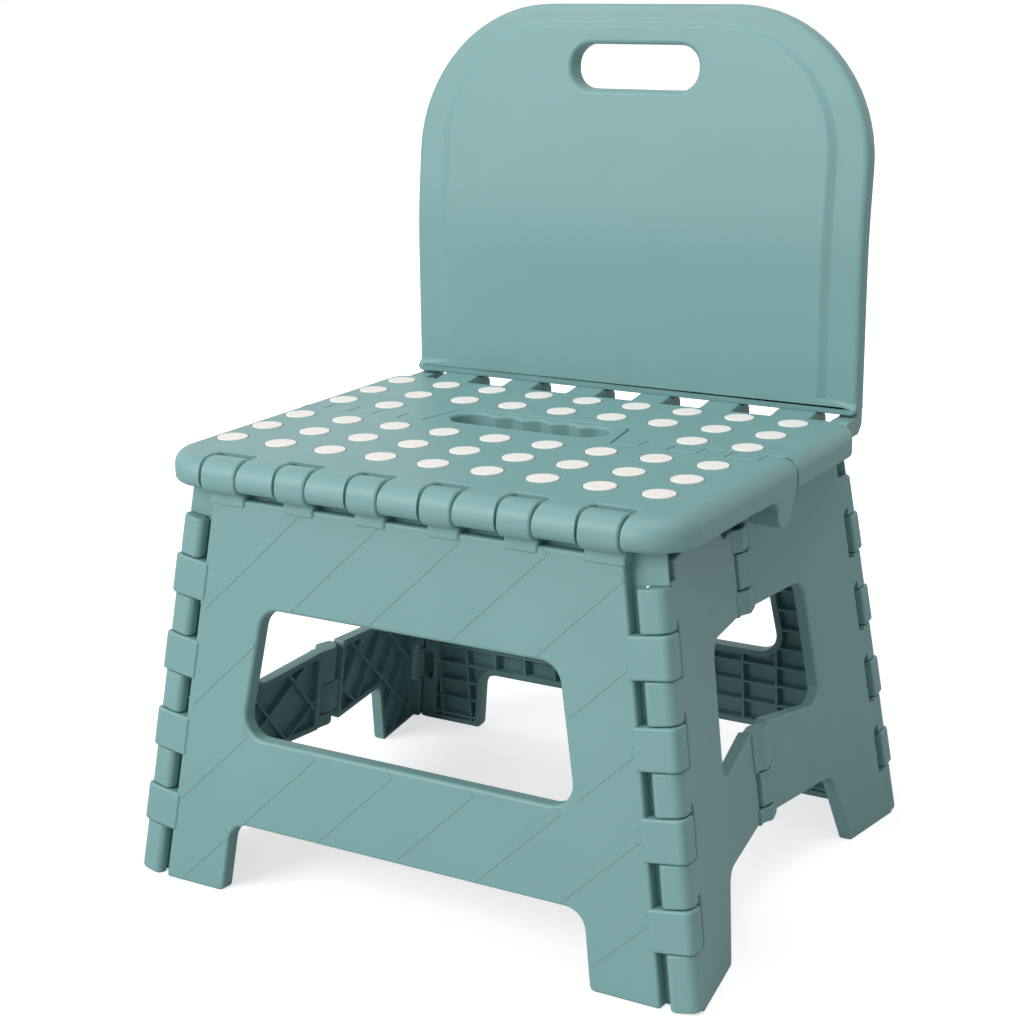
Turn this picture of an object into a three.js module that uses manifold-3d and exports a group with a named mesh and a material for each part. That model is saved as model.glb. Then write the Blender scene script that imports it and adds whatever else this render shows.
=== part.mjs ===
// Folding step stool chair: a plastic folding stool with a folding backrest.
// Millimetres, +Z up. The origin is on the floor under the middle of the seat,
// -Y is the front and +X is to the right seen from the front.
import * as THREE from 'three';
import { mergeVertices } from 'three/addons/utils/BufferGeometryUtils.js';
import Module from 'manifold-3d';

const wasm = await Module();
wasm.setup();

// Driving dimensions of the whole chair
const seatTop = 220; // height of the seat's top face
const seatHalfWidth = 140.5;
const hingeY = 110.5; // leg hinge axes stand this far in front of and behind the middle
const footY = 130; // outer face of a leg at the floor
const footCornerX = 150; // corner hinge axis at the floor
const cornerRise = 1350; // the six panel hinge axes on one side meet at this height
const cornerApexX = -41.8; // and this far past the middle
const midHingeX = 141; // middle hinge axis of a side at the floor
const overrun = 5; // how far a cutting tool reaches past what it cuts
const mergeTolerance = 1e-4; // points closer than this are one point
const gap = 0.35; // running clearance between neighbouring pieces
const sweepGap = 0.7; // clearance round a knuckle that turns in a rounded hollow

// Seat
const seatDepth = 18;
const seatSkin = 4;
const seatWall = 4.5;
const seatRib = 2.4;
const seatCornerRadius = 25;
const noseRadius = 9.5; // bullnose and leg hinge knuckles
const hingeZ = seatTop - noseRadius;
const centreDrop = 21.5; // centre hinge axis below the seat's top face
const centreZ = seatTop - centreDrop;
const lobeRadius = 9;
const seatBottom = seatTop - seatDepth;
const patternX = -8.4; // the dots, the grip plate and the seam fingers are centred here
const seamFrontY = 2.1; // front edge of the rear fingers
const seamRearY = 13; // rear edge of the front fingers
const seamTipGap = 1.6; // wide gap at the front fingers' tips
const seamFingerStarts = [-133, -116, -100.9, -85.4, -69.6, 69.6, 85.4, 100.9, 116, 133];
const tongueTopRise = 2.2; // the rear tongues climb this much to their noses
const tongueSlopeY = 97;
const tongueNoseShare = 0.1; // the nose's slant, in knuckle radii
const tongueCrestShare = 0.25;
const tongueHeelShare = 0.5;
const rearNotchY = 93; // bottom of the notches between the rear tongues
const rearCornerY = 95; // the rear corners of the plate end here
const rearCornerRadius = 12;

// Leg hinge knuckles: inner and outer edge of the three on each side
const knuckleEdges = [[10.8, 29.1], [51.1, 69.8], [91.3, 113.1]];
const knuckleNotch = 7.9; // the seat's notch behind a front knuckle, from the hinge axis
const lowKnuckleRadius = 4.8; // the rear leg's knuckles lie low between the tongues
const lowKnuckleInset = 1;
const rodRadius = 2;
const rodSides = 8;
const boreRadius = 2.5;
const seatRodEnd = 117; // half-length of the two seat hinge rods
const seatRodBoreEnd = 118;

// Grip plate and slot in the middle of the seat
const plateHalfWidth = 55;
const plateRearY = 36;
const plateSlant = 6; // the plate narrows this much to the rear
const plateCornerRadius = 7;
const slotHalfWidth = 45;
const slotFrontY = 6;
const slotRearY = 30;
const slotWaves = 4;
const slotWaveHeight = 3;
const slotEndRadius = 9;

// Grip dots
const dotRadius = 7.8;
const dotPitchX = 29.6;
const dotColumns = 9;
const frontDotRows = [-74.6, -45.7, -16.8];
const rearDotRows = [23.2, 52.1, 81];
const sparseColumns = [-4, -3, 3, 4]; // columns kept beside the grip plate
const dotProud = 0.4;
const dotSides = 10;
const runnerMargin = 0.8; // the dots are one moulding, joined under the skin by wide runners
const runnerDepth = 2;

// Leg panels
const legDepth = 8;
const legSkin = 2.6;
const legWall = 3.6;
const legRib = 2.2;
const legRibPitch = 46;
const legTopDrop = 19.7; // top edge of a leg panel below the seat's top face
const legTopZ = seatTop - legTopDrop;
const legCornerLean = (footCornerX - cornerApexX) / cornerRise;
const legFootInnerX = 104;
const legArchTopX = 99;
const legArchZ = 37;
const legOpening = { topX: 81.1, topZ: 148.4, bottomX: 92.7, bottomZ: 82.8, radius: 10 };
const archRadius = 9;

// Corner hinges between legs and sides, from the floor up
const cornerAxisInset = 8.5; // axis behind the leg's outer face
const legLean = (footY - cornerAxisInset) / cornerRise; // the leg is parallel to the axis
const cornerRodRadius = 1.8;
const cornerBoreRadius = 2.3;
const cornerBandTops = [26.6, 46.7, 67, 87.3, 107.5, 127.6, 147.6, 167.7, 191];
const cornerRodTopInset = 1.2;
const cornerRecess = 5; // slot between a leg's edge and the side's knuckles

// Side panels
const sideFace = 7.4; // outer face outside the corner axis
const sideDepth = 6.9;
const sideSkin = 2.4;
const sideWall = 3.4;
const sideRib = 2;
const sideRibPitch = 52;
const midRadius = 7.5;
const midOffset = 0.45; // middle axis outside the side's outer face at its top
const sideTopZ = 199.4;
const sideDipZ = 187;
const midBands = [
  { low: 40, high: 48, front: true },
  { low: 48, high: 66, front: false },
  { low: 66, high: 87, front: true },
  { low: 144.5, high: 157, front: true },
  { low: 157, high: 175, front: false },
  { low: 175, high: 187, front: true },
];

const sideFootY = 77;
const sideArchY = 64;
const sideArchZ = 40;
const sideOpening = { topY: 54, topZ: 147, bottomY: 60, bottomZ: 81, middleZ: 87 };
const sideDipStartY = 38;
const sideDipEndY = 22;

// Backrest
const backPivotY = 101;
const backPivotZ = 214.5;
const backHalfWidth = 132;
const backBottomZ = seatTop + 2.9;
const backTopZ = 425.5;
const backDepth = 12;
const backSkin = 4;
const backWall = 4;
const backRib = 2.6;
const backRibShares = [-0.6, -0.2, 0.2, 0.6]; // places of the ribs across the half-width
const backTopRadius = 80;
const backFaceOffset = 6.7; // front face behind the pivot, so that it clears the seat
const backLeanStartZ = 300;
const backTopLean = 13.5;
const backLeanPower = 1.5;
const backSectionSteps = 7;
const backSlotDrop = 20.5; // top of the hand slot below the top of the backrest
const backSlotHeight = 23.5;
const backSlotHigh = backTopZ - backSlotDrop;
const backSlotLow = backSlotHigh - backSlotHeight;
const backSlot = { halfWidth: 37.2, low: backSlotLow, high: backSlotHigh, radius: 11 };
const earInset = 1; // ears inside the sides of the backrest
const earWidth = 13;
const earOuterX = backHalfWidth - earInset;
const earInnerX = earOuterX - earWidth;
const earRadius = 5.3;
const earBlockTopZ = 240;
const backPinGrip = 13; // length of a pivot pin in the seat
const backPinHold = 10; // length of a pivot pin in its ear
const backPinInnerX = earInnerX - backPinGrip;
const backPinOuterX = earInnerX + backPinHold;

// Vectors, frames and solids
const vec = (x, y, z) => new THREE.Vector3(x, y, z);
const axisX = vec(1, 0, 0);
const axisY = vec(0, 1, 0);
const axisZ = vec(0, 0, 1);
const origin = vec(0, 0, 0);

// A frame has its z axis along the extrusion of the outlines drawn in it
function frameOf(at, xAxis, yAxis) {
  const zAxis = xAxis.clone().cross(yAxis).normalize();
  return new THREE.Matrix4().makeBasis(xAxis, yAxis, zAxis).setPosition(at);
}

function toSolid(geometry) {
  geometry.deleteAttribute('normal');
  geometry.deleteAttribute('uv');
  const merged = mergeVertices(geometry, mergeTolerance);
  const vertProperties = new Float32Array(merged.attributes.position.array);
  const triVerts = new Uint32Array(merged.index.array);
  return new wasm.Manifold(new wasm.Mesh({ numProp: 3, vertProperties, triVerts }));
}

function toGeometry(solid) {
  const mesh = solid.getMesh();
  const geometry = new THREE.BufferGeometry();
  const positions = new Float32Array(mesh.numVert * 3);
  for (let i = 0; i < mesh.numVert; i += 1) {
    for (let k = 0; k < 3; k += 1) {
      positions[i * 3 + k] = mesh.vertProperties[i * mesh.numProp + k];
    }
  }
  geometry.setAttribute('position', new THREE.BufferAttribute(positions, 3));
  geometry.setIndex(new THREE.BufferAttribute(new Uint32Array(mesh.triVerts), 1));
  return geometry;
}

const unite = (solids) => solids.reduce((all, one) => all.add(one));

// Extrudes an outline from one height to another along a frame's z axis
function prism(shape, frame, from, to, curveSegments = 3) {
  const settings = { depth: to - from, bevelEnabled: false, steps: 1, curveSegments };
  const geometry = new THREE.ExtrudeGeometry(shape, settings);
  geometry.translate(0, 0, from);
  return toSolid(geometry.applyMatrix4(frame));
}

function polygon(points) {
  return new THREE.Shape(points.map(([x, y]) => new THREE.Vector2(x, y)));
}

// A closed outline whose corners [x, y, radius] are rounded
function rounded(corners) {
  const shape = new THREE.Shape();
  const at = (i) => {
    const [x, y] = corners[(i + corners.length) % corners.length];
    return new THREE.Vector2(x, y);
  };
  corners.forEach(([, , radius = 0], i) => {
    const corner = at(i);
    const enter = at(i - 1).sub(corner).setLength(radius).add(corner);
    const leave = at(i + 1).sub(corner).setLength(radius).add(corner);
    if (i === 0) shape.moveTo(enter.x, enter.y);
    else shape.lineTo(enter.x, enter.y);
    if (radius > 0) shape.quadraticCurveTo(corner.x, corner.y, leave.x, leave.y);
  });
  shape.closePath();
  return shape;
}

// Moves every edge of an anticlockwise outline inwards
function inset(corners, distance) {
  const count = corners.length;
  return corners.map(([x, y], i) => {
    const before = new THREE.Vector2(...corners[(i + count - 1) % count].slice(0, 2));
    const after = new THREE.Vector2(...corners[(i + 1) % count].slice(0, 2));
    const here = new THREE.Vector2(x, y);
    const incoming = here.clone().sub(before).normalize();
    const outgoing = after.sub(here).normalize();
    const turn = 1 + incoming.dot(outgoing);
    const normal = new THREE.Vector2(-incoming.y - outgoing.y, incoming.x + outgoing.x);
    const moved = here.add(normal.multiplyScalar(distance / turn));
    return [moved.x, moved.y];
  });
}

function circle(radius, x = 0, y = 0) {
  const shape = new THREE.Shape();
  shape.absarc(x, y, radius, 0, Math.PI * 2);
  return shape;
}

const cylinder = (radius, frame, from, to, sides) => (
  prism(circle(radius), frame, from, to, sides / 2)
);

// Outline of a hinge knuckle: a barrel about the axis with a bore through it, and
// an arm between two x places that runs towards the panel it belongs to
function knuckleOutline(radius, bore, arm, towards = -1) {
  const clampShare = (value) => Math.acos(Math.min(1, Math.max(-1, value / radius)));
  const first = -clampShare(arm.high);
  const last = 2 * Math.PI - clampShare(arm.low);
  const points = [[arm.low, -arm.reach * -towards], [arm.high, -arm.reach * -towards]];
  for (let i = 0; i <= knuckleSteps; i += 1) {
    const angle = first + (last - first) * (i / knuckleSteps);
    points.push([radius * Math.cos(angle), radius * Math.sin(angle) * -towards]);
  }
  const shape = polygon(points);
  shape.holes.push(circle(bore));
  return shape;
}

const box = (low, high, frame = frameOf(origin, axisX, axisY)) => prism(
  polygon([[low.x, low.y], [high.x, low.y], [high.x, high.y], [low.x, high.y]]),
  frame, low.z, high.z,
);

// Frames that extrude along X, with outlines drawn in Y and Z
const alongX = (y = 0, z = 0) => frameOf(vec(0, y, z), axisY, axisZ);
const plan = frameOf(origin, axisX, axisY);
const barrelSides = 12;
const knuckleSteps = 9;
const barX = (radius, y, z, from, to) => cylinder(radius, alongX(y, z), from, to, barrelSides);
const boreX = (y, z, from, to) => cylinder(boreRadius, alongX(y, z), from, to, rodSides);
const rodX = (y, z, from, to) => cylinder(rodRadius, alongX(y, z), from, to, rodSides);

const mirrored = (edges) => edges.flatMap(([a, b]) => [[-b, -a], [a, b]]);
const knuckles = mirrored(knuckleEdges);
const betweenKnuckles = [
  [-knuckleEdges[0][0], knuckleEdges[0][0]],
  ...mirrored([0, 1].map((i) => [knuckleEdges[i][1], knuckleEdges[i + 1][0]])),
];
const wide = seatHalfWidth + overrun;
const belowFloor = box(vec(-footCornerX * 2, -footY * 2, -footY), vec(footCornerX * 2, footY * 2, 0));

// Frame of the front leg's panel: x across, y up the face, z out of the face
const leanVector = vec(0, legLean, 1).normalize();
const legFrame = frameOf(vec(0, -footY, 0), axisX, leanVector);
const legNormal = axisX.clone().cross(leanVector);

// Corner hinge axis of the front right corner, and middle axis of the right side
const cornerY = footY - cornerAxisInset;
const apex = vec(cornerApexX, 0, cornerRise);
const cornerFoot = vec(footCornerX, -cornerY, 0);
const cornerAxis = apex.clone().sub(cornerFoot).normalize();
const midFoot = vec(midHingeX, 0, 0);
const midAxis = apex.clone().sub(midFoot).normalize();
const alongCorner = (z) => z / cornerAxis.z;
const alongMid = (z) => z / midAxis.z;

// Distance square to the corner axis for a step of one across the leg
const cornerAcross = cornerAxis.clone().cross(legNormal).x;

// Frame of the right front side panel: x from the corner to the middle hinge,
// y along the corner axis, z out of the face. The corner axis lies inside the
// face and the middle axis just outside it.
const axesNormal = cornerAxis.clone().cross(midAxis).normalize();
const axesAcross = cornerAxis.clone().cross(axesNormal);
const midTopReach = vec(0, 0, 0).copy(midFoot).addScaledVector(midAxis, alongMid(sideTopZ))
  .sub(cornerFoot).dot(axesAcross);
const sideTurn = Math.asin((sideFace + midOffset) / midTopReach);
const sideNormal = axesNormal.clone().multiplyScalar(Math.cos(sideTurn))
  .addScaledVector(axesAcross, Math.sin(sideTurn));
const sideAcross = cornerAxis.clone().cross(sideNormal);
const sideFrame = frameOf(cornerFoot, sideAcross, cornerAxis);

// Point of the side's outer face at a place given by its y and z
function sidePoint([y, z, radius = 0]) {
  const dy = y - cornerFoot.y - sideFace * sideNormal.y;
  const dz = z - cornerFoot.z - sideFace * sideNormal.z;
  const scale = sideAcross.y * cornerAxis.z - sideAcross.z * cornerAxis.y;
  const u = (dy * cornerAxis.z - dz * cornerAxis.y) / scale;
  const v = (dz * sideAcross.y - dy * sideAcross.z) / scale;
  return [u, v, radius];
}

// Strips that stay as ribs when a panel is hollowed from behind
function ribs(frame, reach, pitch, width, depthRange, angles) {
  const strips = [];
  const count = Math.ceil(reach / pitch);
  for (const angle of angles) {
    const turned = frame.clone().multiply(new THREE.Matrix4().makeRotationZ(angle));
    for (let i = -count; i <= count; i += 1) {
      const low = vec(i * pitch - width / 2, -reach, depthRange[0] - overrun);
      const high = vec(i * pitch + width / 2, reach, depthRange[1] + overrun);
      strips.push(box(low, high, turned));
    }
  }
  return unite(strips);
}

// Leg panels
const faceHeight = (z) => z / leanVector.z;
const cornerRadius = cornerAxisInset * leanVector.z; // the knuckles are flush with the face
const cornerClear = cornerRadius + gap;
const legEdgeX = footCornerX - (cornerClear + cornerRecess) / cornerAcross;

function legOutline() {
  const edgeAt = (z) => legEdgeX - legCornerLean * z;
  return [
    [-edgeAt(-overrun), faceHeight(-overrun)],
    [-legFootInnerX, faceHeight(-overrun)],
    [-legArchTopX, faceHeight(legArchZ), archRadius],
    [legArchTopX, faceHeight(legArchZ), archRadius],
    [legFootInnerX, faceHeight(-overrun)],
    [edgeAt(-overrun), faceHeight(-overrun)],
    [edgeAt(legTopZ), faceHeight(legTopZ)],
    [-edgeAt(legTopZ), faceHeight(legTopZ)],
  ];
}

function legOpeningOutline() {
  const { topX, topZ, bottomX, bottomZ, radius } = legOpening;
  return [
    [-bottomX, faceHeight(bottomZ), radius],
    [bottomX, faceHeight(bottomZ), radius],
    [topX, faceHeight(topZ), radius],
    [-topX, faceHeight(topZ), radius],
  ];
}

function legPlate() {
  const behind = -legDepth - overrun;
  const plate = prism(rounded(legOutline()), legFrame, -legDepth, 0);
  const opening = prism(rounded(legOpeningOutline()), legFrame, behind, overrun);
  const hollow = prism(polygon(inset(legOutline(), legWall)), legFrame, behind, -legSkin);
  const rim = prism(polygon(inset(legOpeningOutline(), -legWall)), legFrame, behind, overrun);
  const grid = ribs(legFrame, seatTop, legRibPitch, legRib, [behind, 0], [0, Math.PI / 2]);
  const sole = box(vec(-footCornerX, -footY, -overrun), vec(footCornerX, footY, legWall));
  return plate.subtract(hollow.subtract(rim).subtract(grid).subtract(sole)).subtract(opening);
}

// Corner frames: x out of the panel's face, y across, z along the corner axis
const legCornerFrame = frameOf(cornerFoot, legNormal, cornerAxis.clone().cross(legNormal));
const sideCornerFrame = frameOf(cornerFoot, sideNormal, sideAcross);

// The stack of knuckles on a corner: the side's at even places, the leg's at odd
const cornerBands = cornerBandTops.map((top, i) => ({
  low: alongCorner(i === 0 ? -overrun : cornerBandTops[i - 1]) + gap / 2,
  high: alongCorner(top) - gap / 2,
}));
const sideBands = cornerBands.filter((_, i) => i % 2 === 0);
const legBands = cornerBands.filter((_, i) => i % 2 === 1);

function legCornerKnuckle({ low, high }) {
  const reach = cornerClear + cornerRecess + legWall;
  const arm = { low: cornerRadius - legDepth, high: cornerRadius, reach };
  return prism(knuckleOutline(cornerRadius, cornerBoreRadius, arm), legCornerFrame, low, high);
}

// Mirrors a solid left to right, front to back or both
function flipped(solid, x, y) {
  const geometry = toGeometry(solid);
  geometry.scale(x, y, 1);
  if (x * y < 0) {
    const index = geometry.index.array;
    for (let i = 0; i < index.length; i += 3) {
      [index[i], index[i + 1]] = [index[i + 1], index[i]];
    }
  }
  return toSolid(geometry);
}

const bothSides = (solid) => solid.add(flipped(solid, -1, 1));

// Leg hinge knuckle: its arm runs down into the top of the leg panel
const legHingeFrame = frameOf(vec(0, -hingeY, hingeZ), legNormal.clone().negate(), leanVector);
const hingeToFace = vec(0, footY - hingeY, hingeZ).dot(legNormal);

function legHingeKnuckle(from, to, radius) {
  const reach = (hingeZ - legTopZ) / leanVector.z + legWall;
  const arm = { low: hingeToFace, high: hingeToFace + legDepth, reach };
  const clipped = { ...arm, low: Math.max(arm.low, -radius) };
  return prism(knuckleOutline(radius, boreRadius, clipped), legHingeFrame, from, to);
}

function legPanel(knuckleRanges, radius) {
  const top = knuckleRanges.map(([from, to]) => legHingeKnuckle(from, to, radius));
  const corners = bothSides(unite(legBands.map(legCornerKnuckle)));
  return legPlate().add(unite(top)).add(corners).subtract(belowFloor);
}

const frontLegPanel = () => legPanel(
  knuckles.map(([from, to]) => [from + gap / 2, to - gap / 2]), noseRadius,
);

const rearLegPanel = () => flipped(legPanel(
  betweenKnuckles.map(([from, to]) => [from + lowKnuckleInset, to - lowKnuckleInset]),
  lowKnuckleRadius,
), 1, -1);

// Side panels
const midEdge = midRadius + gap + midOffset;

// Panel edge beside the middle axis, at a height
function midEdgePoint(z) {
  const along = midFoot.clone().addScaledVector(midAxis, alongMid(z)).sub(cornerFoot);
  return [along.dot(sideAcross) - midEdge, along.dot(cornerAxis)];
}

function sideOutline() {
  const { topY, topZ, bottomY, bottomZ, middleZ } = sideOpening;
  return [
    [cornerClear, alongCorner(-overrun)],
    sidePoint([-sideFootY, -overrun]),
    sidePoint([-sideArchY, sideArchZ, archRadius]),
    midEdgePoint(midBands[0].low),
    midEdgePoint(middleZ),
    sidePoint([-bottomY, bottomZ, archRadius]),
    sidePoint([-topY, topZ, archRadius]),
    midEdgePoint(midBands[3].low),
    midEdgePoint(sideDipZ),
    sidePoint([-sideDipEndY, sideDipZ]),
    sidePoint([-sideDipStartY, sideTopZ]),
    [cornerClear, sidePoint([-cornerY, sideTopZ])[1]],
  ];
}

// Middle hinge frame: x out of the panel's face, y across, z along the middle axis
const midAcross = sideAcross.clone()
  .addScaledVector(midAxis, -sideAcross.dot(midAxis)).normalize();
const midFrame = frameOf(midFoot, midAcross.clone().cross(midAxis), midAcross);

// The middle knuckles are plain, because no pin is drawn through the open pivot
function midKnuckle(band) {
  const arm = { low: -sideDepth - midOffset / 2, high: -2 * midOffset, reach: midEdge + sideWall };
  return prism(
    knuckleOutline(midRadius, cornerBoreRadius, arm), midFrame,
    alongMid(band.low) + gap / 2, alongMid(band.high) - gap / 2,
  );
}

function sideCornerKnuckle({ low, high }) {
  const arm = { low: sideFace - sideDepth, high: sideFace, reach: cornerClear + sideWall };
  const outline = knuckleOutline(cornerRadius, cornerBoreRadius, arm, 1);
  return prism(outline, sideCornerFrame, low, high);
}

function sidePanel(isFront) {
  const inner = sideFace - sideDepth;
  const plate = prism(rounded(sideOutline()), sideFrame, inner, sideFace);
  const hollow = prism(
    polygon(inset(sideOutline(), sideWall)), sideFrame, inner - overrun, sideFace - sideSkin,
  );
  const angles = [Math.PI / 4, -Math.PI / 4];
  const lattice = ribs(sideFrame, seatTop, sideRibPitch, sideRib, [inner, sideFace], angles);
  const sole = box(vec(0, -footY, -overrun), vec(footCornerX * 2, footY, sideWall));
  const bands = midBands.filter(({ front }) => front === isFront);
  return plate.subtract(hollow.subtract(lattice).subtract(sole))
    .add(unite([...sideBands.map(sideCornerKnuckle), ...bands.map(midKnuckle)]))
    .subtract(belowFloor);
}

// Seat
const seamXs = seamFingerStarts.map((start) => patternX + start);

// Fingers along the seam; the grip plate stands in the middle one's place
function seamFingers() {
  const edges = [-wide, ...seamXs, wide];
  return edges.slice(0, -1).map((from, i) => {
    const to = edges[i + 1];
    const isPlate = from < patternX && to > patternX;
    const front = isPlate ? false : i % 2 === 0;
    return { from, to, front, isPlate };
  });
}

function plateOutline(grow) {
  const front = plateHalfWidth + grow;
  const rear = plateHalfWidth - plateSlant + grow;
  return rounded([
    [patternX - front, seamFrontY - seatDepth, 0],
    [patternX + front, seamFrontY - seatDepth, 0],
    [patternX + front, seamFrontY, 0],
    [patternX + rear, plateRearY + grow, plateCornerRadius],
    [patternX - rear, plateRearY + grow, plateCornerRadius],
    [patternX - front, seamFrontY, 0],
  ]);
}

function slotOutline() {
  const shape = new THREE.Shape();
  const left = patternX - slotHalfWidth;
  const right = patternX + slotHalfWidth;
  shape.moveTo(left + slotEndRadius, slotFrontY);
  shape.lineTo(right - slotEndRadius, slotFrontY);
  const middleY = (slotFrontY + slotRearY) / 2;
  shape.quadraticCurveTo(right, slotFrontY, right, middleY);
  shape.quadraticCurveTo(right, slotRearY, right - slotEndRadius, slotRearY);
  const waveWidth = (right - left - 2 * slotEndRadius) / slotWaves;
  for (let i = 0; i < slotWaves; i += 1) {
    const from = right - slotEndRadius - waveWidth * i;
    shape.quadraticCurveTo(
      from - waveWidth / 2, slotRearY - slotWaveHeight * 2, from - waveWidth, slotRearY,
    );
  }
  shape.quadraticCurveTo(left, slotRearY, left, middleY);
  shape.quadraticCurveTo(left, slotFrontY, left + slotEndRadius, slotFrontY);
  return shape;
}

const dotXs = Array.from({ length: dotColumns }, (_, i) => (
  patternX + (i - (dotColumns - 1) / 2) * dotPitchX
));

function dotPlaces(rows) {
  const sparseXs = sparseColumns.map((i) => patternX + i * dotPitchX);
  return rows.flatMap((y) => (y === rearDotRows[0] ? sparseXs : dotXs).map((x) => [x, y]));
}

const runnerTop = seatTop - seatSkin;

// One moulding of dots and runners; a growth makes the space that it fills
function dotMoulding(rows, grow) {
  const top = seatTop + (grow > 0 ? overrun : dotProud);
  const low = runnerTop - runnerDepth - grow;
  const parts = dotPlaces(rows).map(([x, y]) => (
    cylinder(dotRadius + grow, frameOf(vec(x, y, 0), axisX, axisY), low, top, dotSides)
  ));
  const half = dotRadius + runnerMargin + grow;
  const fullRows = rows.filter((y) => y !== rearDotRows[0]);
  for (const y of fullRows) {
    parts.push(box(
      vec(dotXs[0], y - half, low), vec(dotXs.at(-1), y + half, runnerTop + grow),
    ));
  }
  const linkXs = rows === rearDotRows ? sparseColumns.map((i) => patternX + i * dotPitchX) : [patternX];
  for (const x of linkXs) {
    parts.push(box(vec(x - half, rows[0], low), vec(x + half, rows.at(-1), runnerTop + grow)));
  }
  return unite(parts);
}

// Pockets under the seat between its ribs
function seatPockets(lowY, highY, rowEdges) {
  const ribXs = [...dotXs, dotXs.at(-1) + dotPitchX].map((x) => x - dotPitchX / 2);
  const xs = [-seatHalfWidth + seatWall - seatRib / 2, ...ribXs, seatHalfWidth - seatWall + seatRib / 2];
  const ys = [lowY, ...rowEdges, highY];
  const cells = [];
  for (let i = 0; i + 1 < xs.length; i += 1) {
    for (let j = 0; j + 1 < ys.length; j += 1) {
      if (xs[i + 1] - xs[i] > 2 * seatRib) {
        cells.push(box(
          vec(xs[i] + seatRib / 2, ys[j] + seatRib / 2, seatBottom - overrun),
          vec(xs[i + 1] - seatRib / 2, ys[j + 1] - seatRib / 2, runnerTop),
        ));
      }
    }
  }
  return unite(cells);
}

const seatBar = (lowY, highY, from = -wide, to = wide) => box(
  vec(from, lowY, seatBottom), vec(to, highY, seatTop),
);

function frontSeatHalf() {
  const outline = rounded([
    [-seatHalfWidth, -hingeY - noseRadius, seatCornerRadius],
    [seatHalfWidth, -hingeY - noseRadius, seatCornerRadius],
    [seatHalfWidth, plateRearY + overrun],
    [-seatHalfWidth, plateRearY + overrun],
  ]);
  const fingers = seamFingers();
  const front = fingers.filter((finger) => finger.front);
  const rear = fingers.filter((finger) => !finger.front && !finger.isPlate);
  const body = unite([
    seatBar(-hingeY, seamFrontY - gap * 2),
    barX(noseRadius, -hingeY, hingeZ, -wide, wide),
    ...front.flatMap(({ from, to }) => [
      seatBar(-lobeRadius, seamRearY, from + gap / 2, to - gap / 2),
      barX(lobeRadius, 0, centreZ, from + gap / 2, to - gap / 2),
    ]),
    prism(plateOutline(-gap), plan, seatBottom, seatTop),
  ]).intersect(prism(outline, plan, 0, seatTop * 2));
  const notches = unite(knuckles.flatMap(([from, to]) => [
    barX(noseRadius + sweepGap, -hingeY, hingeZ, from - gap / 2, to + gap / 2),
    box(
      vec(from - gap / 2, -hingeY - noseRadius - overrun, 0),
      vec(to + gap / 2, -hingeY + knuckleNotch, seatTop + overrun),
    ),
  ]));
  const lobes = unite(rear.map(({ from, to }) => (
    barX(lobeRadius + sweepGap, 0, centreZ, from - gap / 2, to + gap / 2)
  )));
  const rowEdges = [0, 1].map((i) => (frontDotRows[i] + frontDotRows[i + 1]) / 2);
  const pockets = seatPockets(-hingeY + noseRadius + seatWall, -lobeRadius - seatWall, rowEdges);
  return body.subtract(notches).subtract(lobes).subtract(pockets)
    .subtract(dotMoulding(frontDotRows, gap))
    .subtract(prism(slotOutline(), plan, 0, seatTop * 2))
    .subtract(boreX(-hingeY, hingeZ, -seatRodBoreEnd, seatRodBoreEnd))
    .subtract(boreX(0, centreZ, -wide, wide));
}

function tongueProfile() {
  const noseY = hingeY + noseRadius;
  return polygon([
    [rearNotchY - seatWall, seatBottom],
    [hingeY, seatBottom],
    [hingeY + noseRadius * tongueHeelShare, hingeZ],
    [noseY - gap, hingeZ],
    [noseY - noseRadius * tongueNoseShare, seatTop],
    [noseY - noseRadius * tongueCrestShare, seatTop + tongueTopRise],
    [tongueSlopeY, seatTop],
    [rearNotchY - seatWall, seatTop],
  ]);
}

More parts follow.
